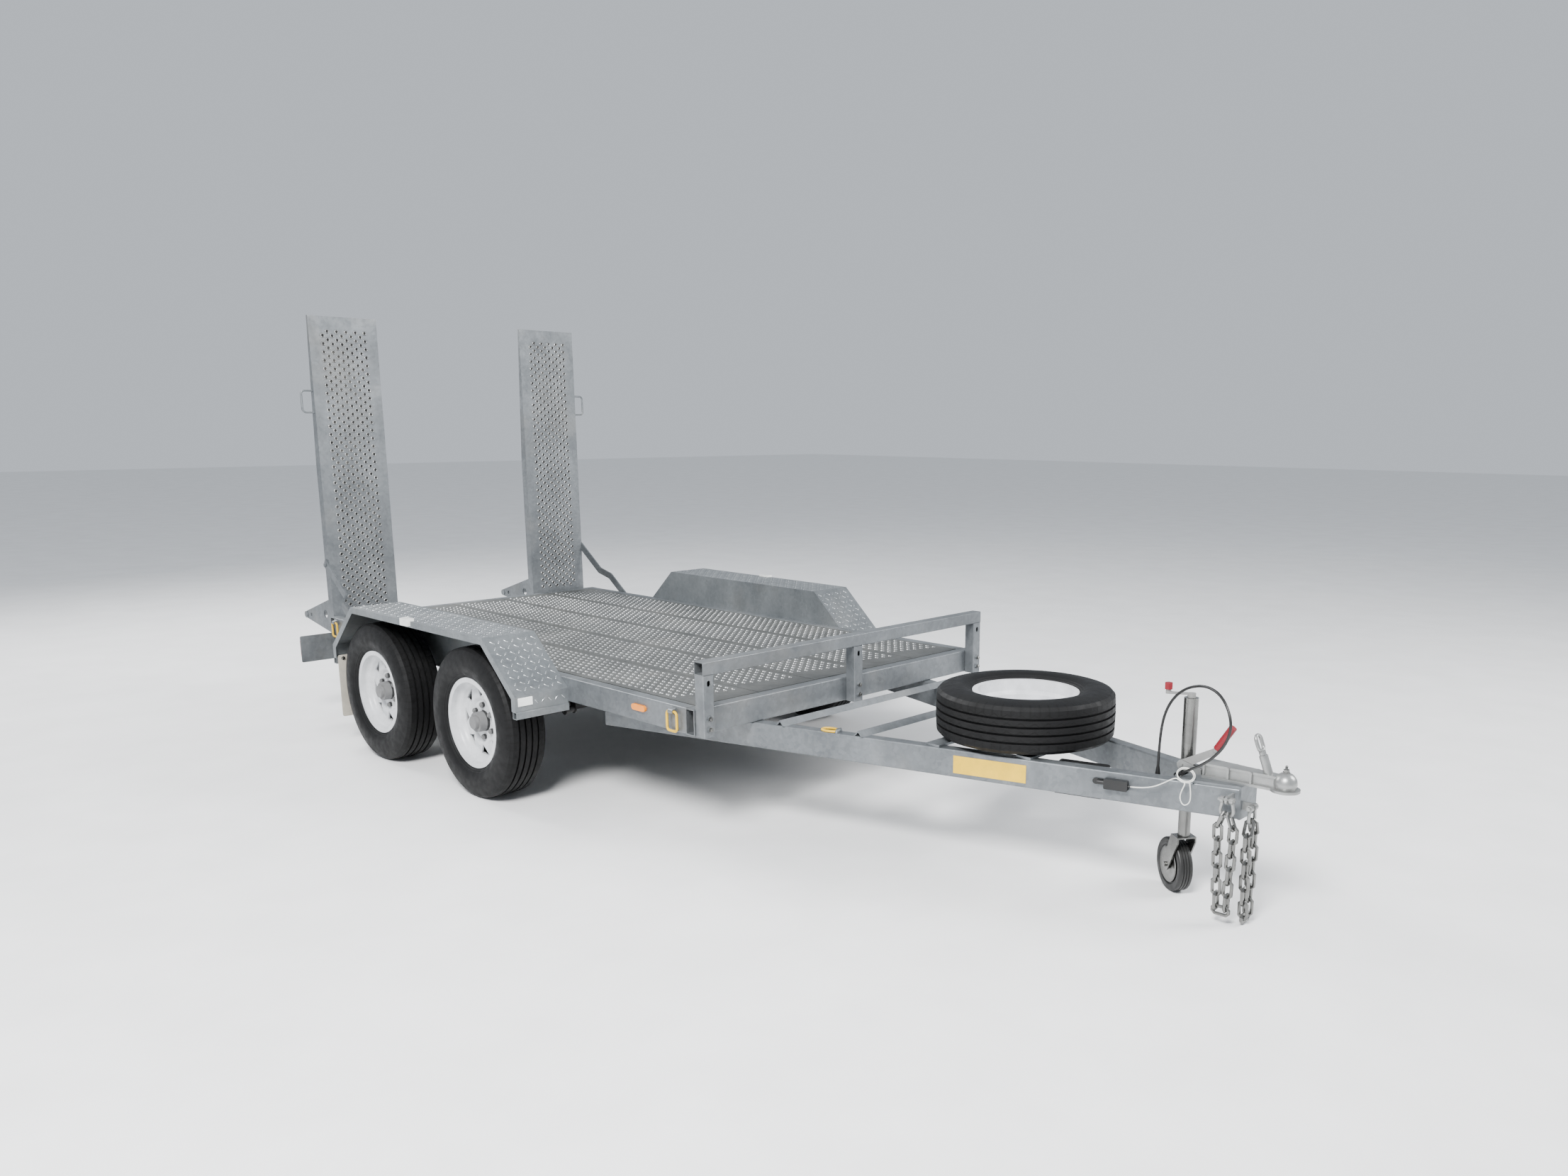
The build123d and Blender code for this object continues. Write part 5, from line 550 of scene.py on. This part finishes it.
# Raised bars of the guards' tread plate, on the top, both slopes and both hems, coloured lighter than the plate as
# a painted highlight
GUARD_Y = (0.820, 1.062)
GUARD_OUTLINE = ((-0.045, 0.440), (-0.045, 0.503), (-0.275, 0.711), (-1.465, 0.711), (-1.695, 0.503),
                 (-1.695, 0.440))
BAR_PITCH = 0.031
ROW_MARGIN = 0.022
ROW_SPARE = 0.02
RUN_SPARE = 0.012
BAR_RINGS = ((0.0125, 0.0032, -0.0002), (0.0105, 0.0018, 0.0016))


def add_tread_bars(side, sign):
    places = []
    rows = int((GUARD_Y[1] - GUARD_Y[0] - ROW_SPARE) / BAR_PITCH)
    for start, end in zip(GUARD_OUTLINE, GUARD_OUTLINE[1:]):
        start, end = Vector((start[0], 0, start[1])), Vector((end[0], 0, end[1]))
        run = end - start
        normal = Vector((run.z, 0, -run.x)).normalized()
        columns = int((run.length - RUN_SPARE) / BAR_PITCH)
        inset = (run.length - (columns - 1) * BAR_PITCH) / 2
        for column in range(columns):
            for row in range(rows):
                tilt = 1 if (row + column) % 2 else -1
                spot = start + run.normalized() * (inset + column * BAR_PITCH)
                spot.y = sign * (GUARD_Y[0] + ROW_MARGIN + row * BAR_PITCH)
                along = run.normalized() + Vector((0, tilt, 0))
                places.append(on_surface(spot, along, normal))
    stamp = ring_stamp("bar", BAR_RINGS, 8)
    repeat("tread_bars_" + side, places, stamp, bar_zinc_painted_highlight, "chassis", unevenness=0.1, seed=7)


# Punched collars of the ramps, each round a hole closed by a dark disc: the collars carry a painted highlight and
# the disc is painted shade in the hole
RAMP_FACE_X = -2.320
RAMP_Y = 0.605
RAMP_COLUMNS = 10
RAMP_COLUMN_PITCH = 0.0245
RAMP_ROW_PITCH = 0.042
PUNCHED_FROM = 0.575
PUNCHED_TO = 2.06
COLLAR_RINGS = ((0.0125, 0.0125, -0.0002), (0.0098, 0.0098, 0.0052), (0.0080, 0.0080, 0.0056),
                (0.0072, 0.0072, 0.0004))
HOLE_RINGS = ((0.0078, 0.0078, 0.0003), (0.0076, 0.0076, 0.0006))
COLLAR_SIDES = 10


def add_ramp_collars(side, sign):
    places = []
    rows = int((PUNCHED_TO - PUNCHED_FROM) / RAMP_ROW_PITCH)
    for column in range(RAMP_COLUMNS):
        y = sign * RAMP_Y + (column - (RAMP_COLUMNS - 1) / 2) * RAMP_COLUMN_PITCH
        for row in range(rows):
            z = PUNCHED_FROM + (row + (column % 2) / 2) * RAMP_ROW_PITCH
            places.append(on_surface((RAMP_FACE_X, y, z), (0, 0, 1), (1, 0, 0)))
    body = "ramp_body_" + side
    collar = ring_stamp("collar", COLLAR_RINGS, COLLAR_SIDES, closed_top=False)
    repeat("ramp_collars_" + side, places, collar, bump_zinc_painted_highlight, body, unevenness=0.06, seed=3)
    # A near-black disc sits in each punched hole as painted shade
    hole = ring_stamp("hole", HOLE_RINGS, COLLAR_SIDES)
    repeat("ramp_holes_" + side, places, hole, hole_painted_shade, body)


# Bolt heads on the loading rail's posts and on the flaps, and the stud and nut on the coupling's dome
POST_HALF_WIDTH = 0.025
POST_BOLT_Z = (0.475, 0.515)
FLAP_BOLT_X = -1.665
FLAP_BOLT_Y = (0.885, 1.030)
FLAP_BOLT_Z = 0.436
BOLT_ACROSS = 0.013
BOLT_HEIGHT = 0.008


def bolt_stamp(name, across, height):
    """Hexagon head on a wider flange."""
    half = across / 2 / cos(radians(30))
    flange = half * 1.25
    seat = height * 0.2
    rings = ((flange, flange, 0), (flange, flange, seat), (half, half, seat), (half, half, height * 0.9),
             (half * 0.8, half * 0.8, height))
    return ring_stamp(name, rings, 6, square=True)


def add_bolts():
    low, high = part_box("loading_rail_posts")
    post_ys = (low[1] + POST_HALF_WIDTH, (low[1] + high[1]) / 2, high[1] - POST_HALF_WIDTH)
    spots = [(high[0], y, z) for y in post_ys for z in POST_BOLT_Z]
    spots += [(FLAP_BOLT_X, sign * y, FLAP_BOLT_Z) for sign in (-1, 1) for y in FLAP_BOLT_Y]
    places = [on_surface(spot, (0, 0, 1), (1, 0, 0)) for spot in spots]
    stamp = bolt_stamp("bolt", BOLT_ACROSS, BOLT_HEIGHT)
    repeat("bolt_heads", places, stamp, bright_plate, "chassis")


def highest_point(name, x, y, reach):
    """Highest vertex of a node within reach of an upright line."""
    near = [v.co.z for v in nodes[name].data.vertices if (v.co.x - x) ** 2 + (v.co.y - y) ** 2 < reach ** 2]
    return max(near)


COUPLING_BALL_X = 2.644
DOME_TOP_REACH = 0.012
NUT_SINK = 0.001
NUT_ACROSS = 0.017
NUT_HEIGHT = 0.011
STUD_RINGS = ((0.0045, 0.0045, 0), (0.0045, 0.0045, 0.020), (0.0035, 0.0035, 0.022))


def add_coupling_stud():
    dome_top = highest_point("coupling_head", COUPLING_BALL_X, 0, DOME_TOP_REACH)
    place = on_surface((COUPLING_BALL_X, 0, dome_top - NUT_SINK), (1, 0, 0), (0, 0, 1))
    nut = bolt_stamp("nut", NUT_ACROSS, NUT_HEIGHT)
    repeat("coupling_nut", [place], nut, bright_plate, "chassis")
    stud = ring_stamp("stud", STUD_RINGS, 14)
    repeat("coupling_stud", [place], stud, bright_plate, "chassis")


JOCKEY_DISC_OFFSET = 0.0252
JOCKEY_DISC_RINGS = ((0.062, 0.062, 0), (0.060, 0.060, 0.0014), (0.045, 0.045, -0.003),
                     (0.020, 0.020, -0.003), (0.014, 0.014, 0.002), (0.0085, 0.0085, 0.002))


def add_jockey_discs():
    """Zinc discs dished into both sides of the jockey wheel."""
    spin = [joint for joint in frame["joints"] if joint["name"] == "jockey_wheel_spin"][0]
    axis = Vector(spin["axis"]).normalized()
    centre = Vector(spin["pos_m"])
    places = []
    for side in (-1, 1):
        outward = axis * side
        places.append(on_surface(centre + outward * JOCKEY_DISC_OFFSET, (0, 0, 1), outward))
    disc = ring_stamp("disc", JOCKEY_DISC_RINGS, 40, closed_top=False)
    repeat("jockey_discs", places, disc, bright_plate, "jockey_wheel_body")


# Right drawbar tube, which carries the ring and the sign
DRAWBAR_NOSE_X = 2.520
DRAWBAR_NOSE_Y = 0.057
DRAWBAR_SLOPE = 0.2697
DRAWBAR_TOP = 0.445


def tube_face(x, z):
    """Point on the outer face of the right drawbar tube."""
    return Vector((x, -(DRAWBAR_NOSE_Y + (DRAWBAR_NOSE_X - x) * DRAWBAR_SLOPE), z))


# Triangular windows of the wheel discs, cut through a copy of each rim that takes the rim's place
WINDOW_COUNT = 8
WINDOW_INNER = 0.101
WINDOW_OUTER = 0.1475
WINDOW_WIDTH = 0.066
WINDOW_DEPTH = (0.935, 1.000)
WINDOW_CORNERS = ((WINDOW_INNER, 0), (WINDOW_OUTER, WINDOW_WIDTH / 2), (WINDOW_OUTER, -WINDOW_WIDTH / 2))
WELD_DISTANCE = 0.00002


def window_cutter(name, centre):
    """One triangular prism for each window round the wheel's centre."""
    mesh = bmesh.new()
    for window in range(WINDOW_COUNT):
        turn = Matrix.Rotation(2 * pi * window / WINDOW_COUNT, 4, "Y")
        ends = []
        for depth in WINDOW_DEPTH:
            y = side_sign(name) * depth - centre.y
            ends.append([mesh.verts.new(turn @ Vector((x, y, z)) + centre) for x, z in WINDOW_CORNERS])
        mesh.faces.new(ends[0])
        mesh.faces.new(ends[1])
        for k in range(3):
            mesh.faces.new((ends[0][k], ends[0][(k + 1) % 3], ends[1][(k + 1) % 3], ends[1][k]))
    bmesh.ops.recalc_face_normals(mesh, faces=mesh.faces)
    data = bpy.data.meshes.new(name + "_cutter")
    mesh.to_mesh(data)
    mesh.free()
    return bpy.data.objects.new(name + "_cutter", data)


def add_windowed_rim(name):
    low, high = (Vector(corner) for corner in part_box(name))
    cutter = window_cutter(name, (low + high) / 2)
    source = bpy.data.objects.new(name + "_blank", nodes[name].data.copy())
    for item in (cutter, source):
        bpy.context.collection.objects.link(item)
    welded = bmesh.new()
    welded.from_mesh(source.data)
    bmesh.ops.remove_doubles(welded, verts=welded.verts, dist=WELD_DISTANCE)
    welded.to_mesh(source.data)
    welded.free()
    cut = source.modifiers.new("windows", "BOOLEAN")
    cut.operation = "DIFFERENCE"
    cut.solver = "EXACT"
    cut.object = cutter
    piece = plain_piece(name + "_windowed", source, name.replace("rim", "wheel"))
    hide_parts(name)
    bpy.data.objects.remove(cutter)


# Yellow ring lying on the right drawbar tube, in its welded saddle
RING_X = 1.075
RING_HALF_LENGTH = 0.034
RING_HALF_WIDTH = 0.020
RING_ROD = 0.0048
RING_INSET = Vector((0, 0.024, 0))
RING_CORNERS = ((1, 0.5), (0.5, 1), (-0.5, 1), (-1, 0.5), (-1, -0.5), (-0.5, -1), (0.5, -1), (1, -0.5))
SADDLE_RINGS = ((0.009, 0.024, -0.001), (0.009, 0.022, 0.006), (0.007, 0.016, 0.0135), (0.004, 0.008, 0.0145))


def add_drawbar_ring():
    centre = tube_face(RING_X, DRAWBAR_TOP + RING_ROD) + RING_INSET
    along = Vector((1, DRAWBAR_SLOPE, 0)).normalized()
    across = Vector((0, 0, 1)).cross(along)
    curve = bpy.data.curves.new("ring_line", "CURVE")
    curve.dimensions = "3D"
    curve.bevel_depth = RING_ROD
    curve.bevel_resolution = 4
    curve.resolution_u = 6
    spline = curve.splines.new("NURBS")
    spline.points.add(len(RING_CORNERS) - 1)
    for point, (u, v) in zip(spline.points, RING_CORNERS):
        point.co = (*(centre + along * u * RING_HALF_LENGTH + across * v * RING_HALF_WIDTH), 1)
    spline.order_u = 3
    spline.use_cyclic_u = True
    curve.materials.append(yellow_zinc)
    source = bpy.data.objects.new("ring_line", curve)
    bpy.context.collection.objects.link(source)
    plain_piece("drawbar_ring", source, "chassis")
    saddle = ring_stamp("saddle", SADDLE_RINGS, 16)
    seat = tube_face(RING_X, DRAWBAR_TOP) + RING_INSET + along * RING_HALF_LENGTH
    repeat("drawbar_ring_saddle", [on_surface(seat, along, (0, 0, 1))], saddle, zinc_frame, "chassis")


# Plain sign plate on the right drawbar tube, and the pale reflector at each guard's front corner
SIGN_X = (1.573, 1.835)
SIGN_Z = (0.361, 0.425)
SIGN_SHEET = 0.0015
REFLECTOR_X = -0.045
REFLECTOR_Y = (0.985, 1.050)
REFLECTOR_Z = (0.462, 0.496)
REFLECTOR_SHEET = 0.004


def corners_of(point_at, across, up):
    """Corners of a plate from point_at(across, up), in order round it."""
    return [point_at(*spot) for spot in ((across[0], up[0]), (across[1], up[0]), (across[1], up[1]),
                                         (across[0], up[1]))]


def panel(name, corners, normal, thickness, finish):
    """Thin plate with a bevelled edge, standing on a surface."""
    mesh = bmesh.new()
    base = [mesh.verts.new(corner) for corner in corners]
    face = mesh.faces.new(base)
    face.normal_update()
    if face.normal.dot(Vector(normal)) < 0:
        face.normal_flip()
    lifted = bmesh.ops.extrude_face_region(mesh, geom=[face])["geom"]
    moved = [item for item in lifted if isinstance(item, bmesh.types.BMVert)]
    bmesh.ops.translate(mesh, verts=moved, vec=Vector(normal).normalized() * thickness)
    data = bpy.data.meshes.new(name)
    mesh.to_mesh(data)
    mesh.free()
    data.materials.append(finish)
    source = bpy.data.objects.new(name + "_blank", data)
    bpy.context.collection.objects.link(source)
    bevel = source.modifiers.new("bevel", "BEVEL")
    bevel.width = thickness * 0.4
    bevel.segments = 2
    plain_piece(name, source, "chassis")


def add_panels():
    corners = corners_of(tube_face, SIGN_X, SIGN_Z)
    panel("plain_sign", corners, (DRAWBAR_SLOPE, -1, 0), SIGN_SHEET, sign_yellow)
    for side, sign in (("left", 1), ("right", -1)):
        corners = corners_of(lambda y, z: (REFLECTOR_X, sign * y, z), REFLECTOR_Y, REFLECTOR_Z)
        panel("reflector_" + side, corners, (1, 0, 0), REFLECTOR_SHEET, clear_lens)


# Cords: the electric lead, and the clear breakaway cable with its coil and hanging loop
FRONT_X = 0.770
LEAD_ROUTE = ((1.459, -0.049, 0.463), (1.460, -0.050, 0.560), (1.479, -0.060, 0.650), (1.526, -0.087, 0.717),
              (1.594, -0.126, 0.764), (1.682, -0.177, 0.789), (1.757, -0.220, 0.771), (1.801, -0.245, 0.706),
              (1.785, -0.236, 0.638), (1.727, -0.202, 0.573), (1.652, -0.157, 0.519), (1.571, -0.090, 0.472))
LEAD_RADIUS = 0.0045
CABLE_RADIUS = 0.002


def cord_curve(name, points, radius, finish):
    curve = bpy.data.curves.new(name, "CURVE")
    curve.dimensions = "3D"
    curve.bevel_depth = radius
    curve.bevel_resolution = 3
    curve.resolution_u = 8
    spline = curve.splines.new("NURBS")
    spline.points.add(len(points) - 1)
    for point, place in zip(spline.points, points):
        point.co = (*place, 1)
    spline.order_u = 3
    spline.use_endpoint_u = True
    curve.materials.append(finish)
    piece = bpy.data.objects.new(name, curve)
    bpy.context.collection.objects.link(piece)
    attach(piece, "chassis")
    return piece


CABLE_START = ((2.1915, -0.1570, 0.4060), (2.2235, -0.1510, 0.4080), (2.2695, -0.1470, 0.4200),
               (2.3122, -0.1449, 0.4457), (2.3402, -0.1349, 0.4647))
CABLE_LOOP = ((2.3732, -0.1316, 0.4502), (2.3652, -0.1396, 0.4262), (2.3592, -0.1396, 0.4002),
              (2.3732, -0.1376, 0.3762), (2.3912, -0.1276, 0.3882), (2.3913, -0.1270, 0.4245),
              (2.3833, -0.1220, 0.4505))
COIL_CENTRE = Vector((2.360, -0.108, 0.470))
COIL_NORMAL = Vector((0.40, -0.45, 0.80)).normalized()
COIL_RADIUS = 0.028
STRAND_OFFSET = 0.0024
COIL_FROM = 45
COIL_TO = 785
COIL_STEP = 20


def coil_points():
    """Two turns of cable, each beside the one before it."""
    along = COIL_NORMAL.cross(Vector((0, 0, 1))).normalized()
    across = COIL_NORMAL.cross(along)
    points = []
    for degrees in range(COIL_FROM, COIL_TO + 1, COIL_STEP):
        turn = radians(degrees)
        phase = radians(degrees - COIL_FROM) / 3
        reach = COIL_RADIUS + STRAND_OFFSET * cos(phase)
        points.append(COIL_CENTRE + along * reach * cos(turn) + across * reach * sin(turn)
                      + COIL_NORMAL * STRAND_OFFSET * sin(phase))
    return points


def add_cords():
    lead_points = [Vector(point) + Vector((FRONT_X, 0, 0)) for point in LEAD_ROUTE]
    lead = cord_curve("lead", lead_points, LEAD_RADIUS, black_plastic)
    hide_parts("electric_lead")
    cable_points = [Vector(point) for point in CABLE_START] + coil_points()
    cable_points += [Vector(point) for point in CABLE_LOOP]
    cable = cord_curve("breakaway_cable", cable_points, CABLE_RADIUS, clear_cable)
    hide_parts("breakaway_lanyard", "lanyard_coil")


add_camera()
add_studio()
finish_nodes()
add_deck_bumps()
for side, sign in (("left", 1), ("right", -1)):
    add_tread_bars(side, sign)
    add_ramp_collars(side, sign)
for name in [node for node in nodes if node.startswith("rim_")]:
    add_windowed_rim(name)
add_bolts()
add_coupling_stud()
add_jockey_discs()
add_drawbar_ring()
add_panels()
add_cords()
